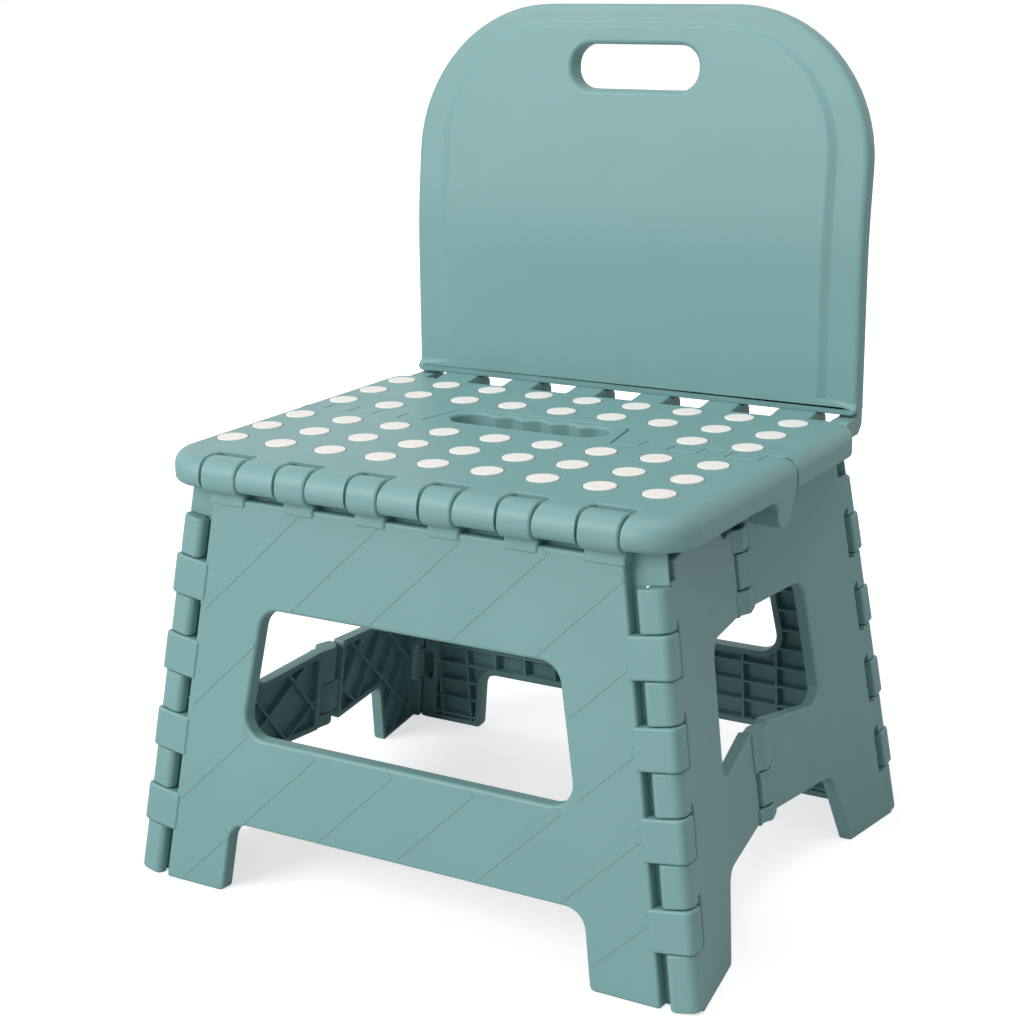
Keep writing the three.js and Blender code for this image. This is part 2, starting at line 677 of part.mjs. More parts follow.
function rearSeatHalf() {
  const outline = rounded([
    [-seatHalfWidth, -overrun],
    [seatHalfWidth, -overrun],
    [seatHalfWidth, rearCornerY, rearCornerRadius],
    [-seatHalfWidth, rearCornerY, rearCornerRadius],
  ]);
  const fingers = seamFingers();
  const rear = fingers.filter((finger) => !finger.front && !finger.isPlate);
  const front = fingers.filter((finger) => finger.front);
  const middle = fingers.find((finger) => finger.isPlate);
  const cornerFrom = knuckleEdges[2][1];
  const body = unite([
    seatBar(seamRearY + seamTipGap, rearNotchY),
    seatBar(rearNotchY - overrun, rearCornerY, -wide, -cornerFrom),
    seatBar(rearNotchY - overrun, rearCornerY, cornerFrom, wide),
    seatBar(seamFrontY, seamRearY + overrun, middle.from + gap / 2, middle.to - gap / 2),
    ...rear.flatMap(({ from, to }) => [
      seatBar(seamFrontY, seamRearY + overrun, from + gap / 2, to - gap / 2),
      barX(lobeRadius, 0, centreZ, from + gap / 2, to - gap / 2),
    ]),
  ]);
  const trimmed = body.intersect(
    prism(outline, plan, 0, seatTop * 2)
      .add(box(vec(-seatHalfWidth, -lobeRadius - overrun, 0), vec(seatHalfWidth, 0, seatTop * 2))),
  );
  const tongues = unite(knuckles.flatMap(([from, to]) => [
    prism(tongueProfile(), alongX(), from + gap / 2, to - gap / 2),
    barX(noseRadius, hingeY, hingeZ, from + gap / 2, to - gap / 2),
  ]));
  const lobeCuts = unite(front.map(({ from, to }) => (
    barX(lobeRadius + sweepGap, 0, centreZ, from - gap / 2, to + gap / 2)
  )));
  const cutout = prism(plateOutline(gap), plan, 0, seatTop * 2);
  const rowEdges = [0, 1].map((i) => (rearDotRows[i] + rearDotRows[i + 1]) / 2);
  const pockets = seatPockets(
    seamRearY + seamTipGap + seatWall, rearNotchY - seatWall, rowEdges,
  ).subtract(prism(plateOutline(seatWall), plan, 0, seatTop * 2));
  const pinFrom = backPinInnerX - overrun / 2;
  return trimmed.add(tongues).subtract(lobeCuts).subtract(cutout).subtract(pockets)
    .subtract(dotMoulding(rearDotRows, gap))
    .subtract(boreX(hingeY, hingeZ, -seatHalfWidth, seatHalfWidth))
    .subtract(boreX(backPivotY, backPivotZ, pinFrom, earInnerX))
    .subtract(boreX(backPivotY, backPivotZ, -earInnerX, -pinFrom))
    .subtract(boreX(0, centreZ, -wide, wide));
}

// Backrest
const faceY = backPivotY + backFaceOffset;

// Depth of the backrest's front face at a height: straight, then leaning back
function backFaceY(z) {
  const lean = Math.max(0, z - backLeanStartZ) / (backTopZ - backLeanStartZ);
  return faceY + backTopLean * lean ** backLeanPower;
}

function backSection(behind, depth, lowZ) {
  const rise = backTopZ + overrun - backLeanStartZ;
  const heights = [lowZ, ...Array.from({ length: backSectionSteps + 1 }, (_, i) => (
    backLeanStartZ + rise * (i / backSectionSteps)
  ))];
  const front = heights.map((z) => [backFaceY(z) + behind, z]);
  const rear = heights.map((z) => [backFaceY(z) + behind + depth, z]).reverse();
  return polygon([...front, ...rear].reverse());
}

function backOutline(shrink) {
  const half = backHalfWidth - shrink;
  const top = backTopZ - shrink;
  const radius = backTopRadius - shrink;
  const shape = new THREE.Shape();
  shape.moveTo(-half, backBottomZ + shrink);
  shape.lineTo(half, backBottomZ + shrink);
  shape.lineTo(half, top - radius);
  shape.absarc(half - radius, top - radius, radius, 0, Math.PI / 2, false);
  shape.absarc(-half + radius, top - radius, radius, Math.PI / 2, Math.PI, false);
  shape.closePath();
  return shape;
}

// Extrudes outlines drawn in X and Z from the far rear to the front
const facing = frameOf(vec(0, 0, 0), axisX, axisZ);
const facingPrism = (shape, segments = 6) => prism(
  shape, facing, -backPivotY * 2, 0, segments,
);

function backSlotOutline(grow) {
  const { halfWidth, low, high, radius } = backSlot;
  const x = halfWidth + grow;
  return rounded([
    [-x, low - grow, radius + grow],
    [x, low - grow, radius + grow],
    [x, high + grow, radius + grow],
    [-x, high + grow, radius + grow],
  ]);
}

function backEar() {
  const rearY = faceY + backDepth;
  const low = backPivotZ - earRadius;
  const profile = polygon([
    [backPivotY, low],
    [rearY - earRadius, low],
    [rearY, backPivotZ],
    [rearY, earBlockTopZ],
    [faceY, earBlockTopZ],
    [faceY, backPivotZ + earRadius],
    [backPivotY, backPivotZ + earRadius],
  ]);
  const ear = prism(profile, alongX(), earInnerX, earOuterX)
    .add(barX(earRadius, backPivotY, backPivotZ, earInnerX, earOuterX));
  return bothSides(ear.subtract(boreX(backPivotY, backPivotZ, earInnerX - overrun, backPinOuterX + gap)));
}

function backrestPanel() {
  const block = prism(backSection(0, backDepth, backBottomZ), alongX(), -backHalfWidth, backHalfWidth);
  const shell = block.intersect(facingPrism(backOutline(0), 8));
  const hollow = prism(
    backSection(backSkin, backDepth * 2, backBottomZ - overrun), alongX(), -backHalfWidth, backHalfWidth,
  ).intersect(facingPrism(backOutline(backWall), 8)).subtract(facingPrism(backSlotOutline(backWall)));
  const ribXs = backRibShares.map((share) => share * backHalfWidth);
  const bars = unite(ribXs.map((x) => box(
    vec(x - backRib / 2, 0, 0), vec(x + backRib / 2, footY, backTopZ),
  )));
  return shell.subtract(hollow.subtract(bars)).subtract(facingPrism(backSlotOutline(0)))
    .add(backEar());
}

// Hinge rods and pins
const cornerRod = () => cylinder(
  cornerRodRadius, legCornerFrame, cornerRodTopInset,
  alongCorner(cornerBandTops.at(-1)) - cornerRodTopInset, rodSides,
);
const centreFingers = seamFingers().filter(({ isPlate }) => !isPlate);
const rightInner = Math.min(...centreFingers.filter(({ from }) => from > patternX).map(({ from }) => from));
const leftInner = Math.max(...centreFingers.filter(({ to }) => to < patternX).map(({ to }) => to));
const pinInset = 1;

// Scene: each moving group turns about its own hinge, nested as the chair folds
const green = { color: 0x7aa19e, roughness: 0.55, metalness: 0 };
const cream = { color: 0xf2eee6, roughness: 0.8, metalness: 0 };
const steel = { color: 0xa9adb0, roughness: 0.35, metalness: 0.9 };

const chair = new THREE.Group();

function hingeGroup(parent, at) {
  const group = new THREE.Group();
  const offset = at.clone().sub(parent.userData.at ?? origin);
  group.position.copy(offset);
  group.userData.at = at;
  parent.add(group);
  return group;
}

function piece(group, name, solid, finish) {
  const at = group.userData.at;
  const geometry = toGeometry(solid).translate(-at.x, -at.y, -at.z);
  const mesh = new THREE.Mesh(geometry, new THREE.MeshStandardMaterial(finish));
  mesh.name = name;
  group.add(mesh);
}

const frontLeg = hingeGroup(chair, origin);
const frontSeat = hingeGroup(frontLeg, vec(0, -hingeY, hingeZ));
const rearSeat = hingeGroup(frontSeat, vec(0, 0, centreZ));
const rearLeg = hingeGroup(rearSeat, vec(0, hingeY, hingeZ));
const backrest = hingeGroup(rearSeat, vec(0, backPivotY, backPivotZ));

piece(frontLeg, 'front_leg_panel', frontLegPanel(), green);
piece(frontLeg, 'front_seat_hinge_rod', rodX(-hingeY, hingeZ, -seatRodEnd, seatRodEnd), steel);
piece(frontSeat, 'front_seat_half', frontSeatHalf(), green);
piece(frontSeat, 'front_grip_dots', dotMoulding(frontDotRows, 0), cream);
piece(
  frontSeat, 'centre_hinge_pin_right',
  rodX(0, centreZ, rightInner + pinInset, seatHalfWidth - pinInset), steel,
);
piece(
  frontSeat, 'centre_hinge_pin_left',
  rodX(0, centreZ, -seatHalfWidth + pinInset, leftInner - pinInset), steel,
);
piece(rearSeat, 'rear_seat_half', rearSeatHalf(), green);
piece(rearSeat, 'rear_grip_dots', dotMoulding(rearDotRows, 0), cream);
piece(
  rearSeat, 'rear_seat_hinge_rod',
  rodX(hingeY, hingeZ, -knuckleEdges[2][1] + pinInset, knuckleEdges[2][1] - pinInset), steel,
);
piece(rearLeg, 'rear_leg_panel', rearLegPanel(), green);
piece(backrest, 'backrest_panel', backrestPanel(), green);

for (const [side, x] of [['right', 1], ['left', -1]]) {
  for (const [end, y, leg] of [['front', 1, frontLeg], ['rear', -1, rearLeg]]) {
    const pivot = vec(x * cornerFoot.x, y * cornerFoot.y, 0);
    const panel = hingeGroup(leg, pivot);
    piece(panel, `${side}_${end}_side_panel`, flipped(sidePanel(end === 'front'), x, y), green);
    piece(leg, `${side}_${end}_corner_rod`, flipped(cornerRod(), x, y), steel);
  }
  const pin = rodX(backPivotY, backPivotZ, backPinInnerX, backPinOuterX);
  piece(backrest, `backrest_pivot_pin_${side}`, flipped(pin, x, 1), steel);
}

export default chair;
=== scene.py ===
"""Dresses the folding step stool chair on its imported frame.

Every size is in millimetres, in the frame of the CAD part, until a mesh is made. The
panels are closed shells drawn from outlines whose edges are rolled over, so that each
moulded edge catches light as the real one does. Ribs, ridges and dots come from
Geometry Nodes. Nothing is read but the frame.
"""

import logging
import math
from collections.abc import Sequence
from dataclasses import dataclass, field
from enum import Enum

import bmesh
import bpy
from mathutils import Matrix, Vector
from mathutils.geometry import tessellate_polygon


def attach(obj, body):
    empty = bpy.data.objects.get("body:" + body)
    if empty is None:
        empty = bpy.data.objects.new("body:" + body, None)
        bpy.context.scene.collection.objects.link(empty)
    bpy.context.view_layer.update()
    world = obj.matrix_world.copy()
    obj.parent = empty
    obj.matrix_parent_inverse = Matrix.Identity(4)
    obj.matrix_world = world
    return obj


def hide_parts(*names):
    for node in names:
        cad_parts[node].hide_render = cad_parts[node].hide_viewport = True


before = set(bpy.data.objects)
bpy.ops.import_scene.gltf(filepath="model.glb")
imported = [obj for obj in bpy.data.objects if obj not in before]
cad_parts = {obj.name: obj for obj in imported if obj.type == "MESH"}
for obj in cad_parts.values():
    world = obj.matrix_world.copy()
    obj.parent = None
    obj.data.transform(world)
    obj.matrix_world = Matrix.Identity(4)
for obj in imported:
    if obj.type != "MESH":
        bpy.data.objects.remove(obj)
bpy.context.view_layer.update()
log = logging.getLogger("stool")

MM = 0.001
X_AXIS = Vector((1.0, 0.0, 0.0))
Y_AXIS = Vector((0.0, 1.0, 0.0))
Z_AXIS = Vector((0.0, 0.0, 1.0))
Corner = tuple[float, ...]
Segment = tuple[Vector, Vector]
MIRROR_X = Matrix.Diagonal((-1.0, 1.0, 1.0, 1.0))
POCKET_ROLL = 0.5
RIB_SINK = 0.6  # how far ribs reach into the skin that they stand on
RIB_BITE = 1.2  # how far their ends reach into the walls
HAIR = 0.02  # keeps two faces out of one plane, such as a foot and the floor
RIB_WIDTHS = (2.4, 2.0)  # foot and crest of the ribs of the seat and the backrest
CREASE_DEG = 32.0  # edges that turn more than this stay crisp
CAP_TURNS = (0.0, 0.37, 0.83, 1.21)  # radians; a flat face that won't fill is tried turned
CAP_ERROR = 0.001  # share of a flat face that may be missing before it is logged


# Outlines and shells


@dataclass(frozen=True)
class Node:
    """A point of an outline, and how far the edge that leaves it rolls over above and below."""

    x: float
    y: float
    roll: float
    under: float = 0.5


def outline(corners: Sequence[Corner], roll: float = 0.8, arc_steps: int = 8,
            under: float = 0.5) -> list[Node]:
    """Rounds the corners of an outline with true arcs.

    Args:
        corners: Places as (x, y, fillet, roll above, roll below); all but x and y may be left out,
            and the rolls are those of the edge after the corner.
        roll: Roll above of the edges that give none.
        arc_steps: Straight pieces in each rounded corner.
        under: Roll below of the edges that give none.

    Returns:
        The outline's points, in the same order.
    """
    nodes: list[Node] = []
    rolls = [corner[3] if len(corner) > 3 else roll for corner in corners]
    unders = [corner[4] if len(corner) > 4 else under for corner in corners]
    for i, corner in enumerate(corners):
        here = Vector(corner[:2])
        fillet = corner[2] if len(corner) > 2 else 0.0
        if fillet == 0.0:
            nodes.append(Node(here.x, here.y, rolls[i], unders[i]))
            continue
        back = (Vector(corners[i - 1][:2]) - here).normalized()
        ahead = (Vector(corners[(i + 1) % len(corners)][:2]) - here).normalized()
        half = back.angle(ahead) / 2.0
        centre = here + (back + ahead).normalized() * (fillet / math.sin(half))
        start = here + back * (fillet / math.tan(half)) - centre
        end = here + ahead * (fillet / math.tan(half)) - centre
        sweep = start.angle_signed(end)
        for k in range(arc_steps + 1):
            share = k / arc_steps
            turned = start.copy()
            turned.rotate(Matrix.Rotation(-sweep * share, 2))
            place = centre + turned
            above = rolls[i - 1] * (1.0 - share) + rolls[i] * share
            below = unders[i - 1] * (1.0 - share) + unders[i] * share
            nodes.append(Node(place.x, place.y, above, below))
    return nodes


def reversed_loop(loop: Sequence[Node]) -> list[Node]:
    """Runs an outline the other way round, so that its material is on the other side."""
    backwards = reversed(range(len(loop)))
    return [Node(loop[i].x, loop[i].y, loop[i - 1].roll, loop[i - 1].under) for i in backwards]


def inset(loop: Sequence[Node], distance: float, roll: float) -> list[Node]:
    """Moves every edge of an outline to its left.

    Args:
        loop: The outline.
        distance: How far the edges move.
        roll: Roll of the new outline's edges.

    Returns:
        The moved outline.
    """
    even = [Node(node.x, node.y, distance) for node in loop]
    return [Node(place.x, place.y, roll) for place in rolled(even, 1.0)]


def arc(x: float, y: float, radius: float, start: float, sweep: float, steps: int) -> list[Corner]:
    """Draws points along an arc about a place, both ends included."""
    turns = [start + sweep * k / steps for k in range(steps + 1)]
    return [(x + radius * math.cos(t), y + radius * math.sin(t)) for t in turns]


def circle(radius: float, x: float, y: float, roll: float, steps: int) -> list[Node]:
    """Draws an anticlockwise circle, with the same roll above and below."""
    return [Node(*place, roll, roll) for place in arc(x, y, radius, 0.0, math.tau, steps)[:-1]]


def pockets(loops: Sequence[Sequence[Node]], wall: float) -> list[list[Node]]:
    """Draws the hollow inside walls of one thickness along outlines."""
    return [reversed_loop(inset(loop, wall, POCKET_ROLL)) for loop in loops]


def rib_bounds(loops: Sequence[Sequence[Node]], wall: float) -> list[list[Node]]:
    """Draws where the ribs in such a hollow end, a little inside its walls."""
    return [inset(loop, wall - RIB_BITE, 0.0) for loop in loops]


def rolled(loop: Sequence[Node], share: float) -> list[Vector]:
    """Moves each edge of an outline to its left by a share of its roll.

    Args:
        loop: The outline.
        share: Share of the roll, from 0 at the wall to 1 at the face.

    Returns:
        The moved corners.
    """
    moved = []
    for i, node in enumerate(loop):
        before, after = loop[i - 1], loop[(i + 1) % len(loop)]
        here = Vector((node.x, node.y))
        arrive = (here - Vector((before.x, before.y))).normalized()
        leave = (Vector((after.x, after.y)) - here).normalized()
        first, second = before.roll * share, node.roll * share
        cross = arrive.cross(leave)
        if abs(cross) < 0.02:
            left = Vector((-arrive.y - leave.y, arrive.x + leave.x)).normalized()
            moved.append(here + left * (first + second) / 2.0)
        else:
            moved.append(here + (leave * first - arrive * second) / cross)
    return moved


def round_profile(steps: int) -> list[tuple[float, float]]:
    """Gives the profile of a round roll: shares in from the wall and down from the face."""
    turns = [math.pi / 2.0 * k / steps for k in range(steps + 1)]
    return [(1.0 - math.cos(turn), 1.0 - math.sin(turn)) for turn in turns]


class Shell:
    """Closed surfaces in a local frame, built from rings of points, walls and flat caps."""

    def __init__(self) -> None:
        """Starts with nothing in it."""
        self.points: list[Vector] = []
        self.faces: list[tuple[int, ...]] = []

    def ring(self, places: Sequence[Vector], heights: Sequence[float]) -> list[int]:
        """Adds a ring of points and gives their numbers."""
        first = len(self.points)
        self.points += [Vector((p.x, p.y, z)) for p, z in zip(places, heights)]
        return list(range(first, len(self.points)))

    def wall(self, rings: Sequence[list[int]]) -> None:
        """Joins rings of equal count, each to the next one up."""
        for low, high in zip(rings, rings[1:]):
            for i in range(len(low)):
                j = (i + 1) % len(low)
                self.faces.append((low[i], low[j], high[j], high[i]))

    def cap(self, rings: Sequence[list[int]], up: bool) -> None:
        """Fills the space between rings with flat faces.

        Args:
            rings: Outer rings and the holes in them.
            up: Whether the faces look along the local z axis.
        """
        numbers = [i for r in rings for i in r]
        flat = [[self.points[i].to_2d() for i in r] for r in rings]
        signed = [sum(r[i - 1].cross(p) for i, p in enumerate(r)) for r in flat]
        whole = 2.0 * max(abs(s) for s in signed) - sum(abs(s) for s in signed)
        best, least = [], math.inf
        for turn in CAP_TURNS:
            turned = [[(Matrix.Rotation(turn, 2) @ p).to_3d() for p in r] for r in flat]
            made, filled = [], 0.0
            for tri in tessellate_polygon(turned):
                a, b, c = (numbers[i] for i in tri)
                pa, pb, pc = (self.points[i].to_2d() for i in (a, b, c))
                area = (pb - pa).cross(pc - pa)
                filled += abs(area)
                made.append((a, b, c) if (area > 0.0) == up else (a, c, b))
            if abs(filled - whole) < least:
                best, least = made, abs(filled - whole)
        if least > CAP_ERROR * whole:
            log.warning("a cap is off by %.2f mm2 of %.0f", least / 2.0, whole / 2.0)
        self.faces += best

    def edge(self, loop: Sequence[Node], z: float, above: bool,
             profile: Sequence[tuple[float, float]]) -> list[list[int]]:
        """Rolls the edge of an outline over into a face.

        Args:
            loop: The outline, with its material on the left.
            z: Height of the face.
            above: Whether the face looks up; one that looks down takes the lower rolls.
            profile: Shares of the roll, in from the wall and down from the face.

        Returns:
            Rings of point numbers, from the wall to the face.
        """
        given = loop if above else [Node(n.x, n.y, n.under) for n in loop]
        rise = 1.0 if above else -1.0
        depth = [max(given[i - 1].roll, node.roll) for i, node in enumerate(given)]
        rings = []
        for across, down in profile:
            heights = [z - rise * d * down for d in depth]
            rings.append(self.ring(rolled(given, across), heights))
        return rings

    def slab(self, loops: Sequence[list[Node]], low: float, high: float, steps: int,
             pocket: Sequence[list[Node]] = (), ceiling: float = 0.0,
             profile: Sequence[tuple[float, float]] = ()) -> None:
        """Adds a plate with rolled edges; the arguments are those of slab_body."""
        tops, bottoms = self.rims(loops, low, high, steps, profile)
        self.cap(tops, up=True)
        self.hollow(bottoms, pocket, low, ceiling)

    def rims(self, loops: Sequence[list[Node]], low: float, high: float, steps: int,
             profile: Sequence[tuple[float, float]] = ()) -> tuple[list[list[int]], list[list[int]]]:
        """Adds the walls of a plate and its rolled edges; the arguments are those of slab_body.

        Returns:
            The rings about the upper face, and those about the lower one.
        """
        tops, bottoms = [], []
        for i, loop in enumerate(loops):
            below = self.edge(loop, low, False, round_profile(steps))
            shape = profile if profile and i == 0 else round_profile(steps)
            above = self.edge(loop, high, True, shape)
            self.wall(below[::-1])
            self.wall([below[0], *above])
            tops.append(above[-1])
            bottoms.append(below[-1])
        return tops, bottoms

    def hollow(self, bottoms: list[list[int]], pocket: Sequence[list[Node]], low: float,
               ceiling: float, mouths: Sequence[list[int]] = ()) -> None:
        """Closes a plate's lower side, with a pocket sunk into it if it has one.

        Args:
            bottoms: The plate's lower rings.
            pocket: Outlines of the pocket, with the material on their left.
            low: Height of the lower face.
            ceiling: Height of the pocket's ceiling.
            mouths: Rings of holes that start in the ceiling.
        """
        ceilings = []
        for loop in pocket:
            mouth = self.edge(loop, low, False, round_profile(2))
            roof = self.ring([Vector((n.x, n.y)) for n in loop], [ceiling] * len(loop))
            self.wall([*mouth[::-1], roof])
            bottoms.append(mouth[-1])
            ceilings.append(roof)
        self.cap(bottoms, up=False)
        if ceilings:
            self.cap([*ceilings, *mouths], up=False)


class Body:
    """The shells of one piece, in the frame of the part."""

    def __init__(self) -> None:
        """Starts with nothing in it."""
        self.points: list[Vector] = []
        self.faces: list[tuple[int, ...]] = []

    def add(self, shell: "Shell | Body", place: Matrix | None = None) -> None:
        """Adds a shell where a matrix puts it, and keeps its faces outwards."""
        place = place or Matrix.Identity(4)
        first = len(self.points)
        self.points += [place @ p for p in shell.points]
        turned = place.determinant() < 0.0
        for face in shell.faces:
            order = reversed(face) if turned else face
            self.faces.append(tuple(first + i for i in order))

    def mesh(self) -> bmesh.types.BMesh:
        """Gives the shells as an editable mesh."""
        work = bmesh.new()
        verts = [work.verts.new(p) for p in self.points]
        for face in self.faces:
            work.faces.new([verts[i] for i in face])
        return work

    def take(self, work: bmesh.types.BMesh) -> None:
        """Takes its shells back from an editable mesh and frees it."""
        work.verts.index_update()
        self.points = [v.co.copy() for v in work.verts]
        self.faces = [tuple(v.index for v in f.verts) for f in work.faces]
        work.free()

    def stood_on(self, z: float) -> "Body":
        """Cuts away what lies below a height, closes the cuts and gives the body."""
        work = self.mesh()
        parts = [*work.verts, *work.edges, *work.faces]
        bmesh.ops.bisect_plane(work, geom=parts, plane_co=(0.0, 0.0, z),
                               plane_no=(0.0, 0.0, -1.0), clear_outer=True)
        rims = [edge for edge in work.edges if edge.is_boundary]
        bmesh.ops.holes_fill(work, edges=rims, sides=0)
        bmesh.ops.recalc_face_normals(work, faces=work.faces)
        self.take(work)
        return self


def slab_body(loops: Sequence[list[Node]], low: float, high: float, steps: int,
              place: Matrix | None = None, pocket: Sequence[list[Node]] = (),
              ceiling: float = 0.0, profile: Sequence[tuple[float, float]] = ()) -> Body:
    """Gives a plate with rolled edges as a body of its own.

    Args:
        loops: The outer outline anticlockwise, and holes clockwise.
        low: Height of the lower face.
        high: Height of the upper face.
        steps: Straight pieces in each round roll.
        place: Matrix of the frame that the outlines are drawn in.
        pocket: Outline of the hollow clockwise, and what stands in it anticlockwise.
        ceiling: Height of the hollow's ceiling.
        profile: Shape of the outer outline's upper roll, if it isn't round.

    Returns:
        The plate.
    """
    shell = Shell()
    shell.slab(loops, low, high, steps, pocket, ceiling, profile)
    body = Body()
    body.add(shell, place)
    return body


def mirrored(body: Body, x: float, y: float) -> Body:
    """Gives a body with its x and y multiplied by 1 or -1."""
    turned = Body()
    turned.add(body, Matrix.Diagonal((x, y, 1.0, 1.0)))
    return turned


def frame_at(at: Vector, x_axis: Vector, y_axis: Vector) -> Matrix:
    """Gives the matrix of a local frame; outlines are drawn in its x and y."""
    z_axis = x_axis.cross(y_axis).normalized()
    turn = Matrix((x_axis, y_axis, z_axis)).transposed().to_4x4()
    return Matrix.Translation(at) @ turn


def along_x(y: float, z: float) -> Matrix:
    """Gives the frame at a place that extrudes outlines drawn in Y and Z along X."""
    return frame_at(Vector((0.0, y, z)), Y_AXIS, Z_AXIS)


# Finishes


class Slot(Enum):
    """The record's material slots."""

    SHELL = "shell"
    DOTS = "dots"
    STEEL = "steel"


def linear(hex_colour: str) -> tuple[float, float, float, float]:
    """Turns an sRGB hex colour into Blender's linear colour."""
    parts = [int(hex_colour[i:i + 2], 16) / 255.0 for i in (1, 3, 5)]
    low, high = 0.04045, 2.4
    flat = [p / 12.92 if p <= low else ((p + 0.055) / 1.055) ** high for p in parts]
    return (flat[0], flat[1], flat[2], 1.0)


def add_node(tree: bpy.types.NodeTree, kind: str,
             inputs: dict[int | str, object] | None = None, **settings: str) -> bpy.types.Node:
    """Adds a node with its settings, and sets or links its inputs.

    Args:
        tree: The tree that the node goes into.
        kind: Blender's name of the node.
        inputs: Values or output sockets, by the input's place or name.
        settings: Attributes of the node.

    Returns:
        The node.
    """
    node = tree.nodes.new(kind)
    for name, value in settings.items():
        setattr(node, name, value)
    for key, value in (inputs or {}).items():
        if isinstance(value, bpy.types.NodeSocket):
            tree.links.new(value, node.inputs[key])
        else:
            node.inputs[key].default_value = value
    return node


def blank_material(name: str) -> tuple[bpy.types.Material, bpy.types.NodeTree]:
    """Starts a material.

    Args:
        name: Name of the material.

    Returns:
        The material and its empty tree.
    """
    material = bpy.data.materials.new(name)
    material.use_nodes = True
    material.node_tree.nodes.clear()
    return material, material.node_tree


@dataclass(frozen=True)
class MouldedPolypropylene:
    """Injection-moulded polypropylene, coloured through, from a spark-eroded mould.

    The fine mould grain scatters the light into a soft satin. The colour drifts a
    little with the flow of the melt, and handled places are a little smoother.
    """

    name: str = "moulded_polypropylene"
    colour: str = "#7CA5A6"
    deep: str = "#759E9F"
    roughness: float = 0.46
    grain_mm: float = 0.7  # real mould grain is 0.1 mm, drawn coarser so that it shows
    drift_mm: float = 60.0
    wear_mm: float = 9.0

    def make(self) -> bpy.types.Material:
        """Builds the material."""
        material, tree = blank_material(self.name)
        place = add_node(tree, "ShaderNodeTexCoord").outputs["Object"]
        drift = add_node(tree, "ShaderNodeTexNoise", {
            "Vector": place, "Scale": 1.0 / (self.drift_mm * MM), "Detail": 3.0})
        wear = add_node(tree, "ShaderNodeTexNoise", {
            "Vector": place, "Scale": 1.0 / (self.wear_mm * MM), "Detail": 4.0})
        grain = add_node(tree, "ShaderNodeTexNoise", {
            "Vector": place, "Scale": 1.0 / (self.grain_mm * MM), "Detail": 2.0})
        tone = add_node(tree, "ShaderNodeMix", {
            0: drift.outputs["Fac"], 6: linear(self.deep), 7: linear(self.colour)},
            data_type="RGBA")
        gloss = add_node(tree, "ShaderNodeMapRange", {
            "Value": wear.outputs["Fac"], "To Min": self.roughness - 0.05,
            "To Max": self.roughness + 0.07})
        bump = add_node(tree, "ShaderNodeBump", {
            "Height": grain.outputs["Fac"], "Strength": 0.10, "Distance": 0.05 * MM})
        surface = add_node(tree, "ShaderNodeBsdfPrincipled", {
            "Base Color": tone.outputs[2], "Roughness": gloss.outputs["Result"],
            "Normal": bump.outputs["Normal"], "IOR": 1.49})
        add_node(tree, "ShaderNodeOutputMaterial", {"Surface": surface.outputs["BSDF"]})
        return material


@dataclass(frozen=True)
class SoftElastomer:
    """Soft thermoplastic elastomer of the grip dots, moulded into the seat.

    It is off-white and quite matt, with a faint mottle where shoes and hands rub it.
    """

    name: str = "soft_elastomer"
    colour: str = "#FBF8F3"
    rubbed: str = "#F1ECE4"
    roughness: float = 0.72
    mottle_mm: float = 5.0
    grain_mm: float = 0.5

    def make(self) -> bpy.types.Material:
        """Builds the material."""
        material, tree = blank_material(self.name)
        place = add_node(tree, "ShaderNodeTexCoord").outputs["Object"]
        mottle = add_node(tree, "ShaderNodeTexNoise", {
            "Vector": place, "Scale": 1.0 / (self.mottle_mm * MM), "Detail": 4.0})
        grain = add_node(tree, "ShaderNodeTexNoise", {
            "Vector": place, "Scale": 1.0 / (self.grain_mm * MM), "Detail": 2.0})
        tone = add_node(tree, "ShaderNodeMix", {
            0: mottle.outputs["Fac"], 6: linear(self.rubbed), 7: linear(self.colour)},
            data_type="RGBA")
        bump = add_node(tree, "ShaderNodeBump", {
            "Height": grain.outputs["Fac"], "Strength": 0.12, "Distance": 0.06 * MM})
        surface = add_node(tree, "ShaderNodeBsdfPrincipled", {
            "Base Color": tone.outputs[2], "Roughness": self.roughness,
            "Normal": bump.outputs["Normal"], "IOR": 1.5, "Specular IOR Level": 0.35})
        add_node(tree, "ShaderNodeOutputMaterial", {"Surface": surface.outputs["BSDF"]})
        return material


@dataclass(frozen=True)
class DrawnSteelRod:
    """Bright drawn steel of the hinge rods: grey metal with fine lines from the die."""

    name: str = "drawn_steel_rod"
    colour: str = "#B4B6B8"
    roughness: float = 0.3
    line_mm: float = 0.4  # real die lines are finer, drawn as coarse as they need to show

    def make(self) -> bpy.types.Material:
        """Builds the material."""
        material, tree = blank_material(self.name)
        place = add_node(tree, "ShaderNodeTexCoord").outputs["Object"]
        lines = add_node(tree, "ShaderNodeTexNoise", {
            "Vector": place, "Scale": 1.0 / (self.line_mm * MM), "Detail": 2.0})
        gloss = add_node(tree, "ShaderNodeMapRange", {
            "Value": lines.outputs["Fac"], "To Min": self.roughness - 0.06,
            "To Max": self.roughness + 0.12})
        bump = add_node(tree, "ShaderNodeBump", {
            "Height": lines.outputs["Fac"], "Strength": 0.15, "Distance": 0.03 * MM})
        surface = add_node(tree, "ShaderNodeBsdfPrincipled", {
            "Base Color": linear(self.colour), "Metallic": 1.0,
            "Roughness": gloss.outputs["Result"], "Normal": bump.outputs["Normal"]})
        add_node(tree, "ShaderNodeOutputMaterial", {"Surface": surface.outputs["BSDF"]})
        return material


# Geometry Nodes for what repeats


@dataclass(frozen=True)
class BarProfile:
    """Cross-section of a rib or ridge: its foot width, crest width and height."""

    foot: float
    crest: float
    height: float


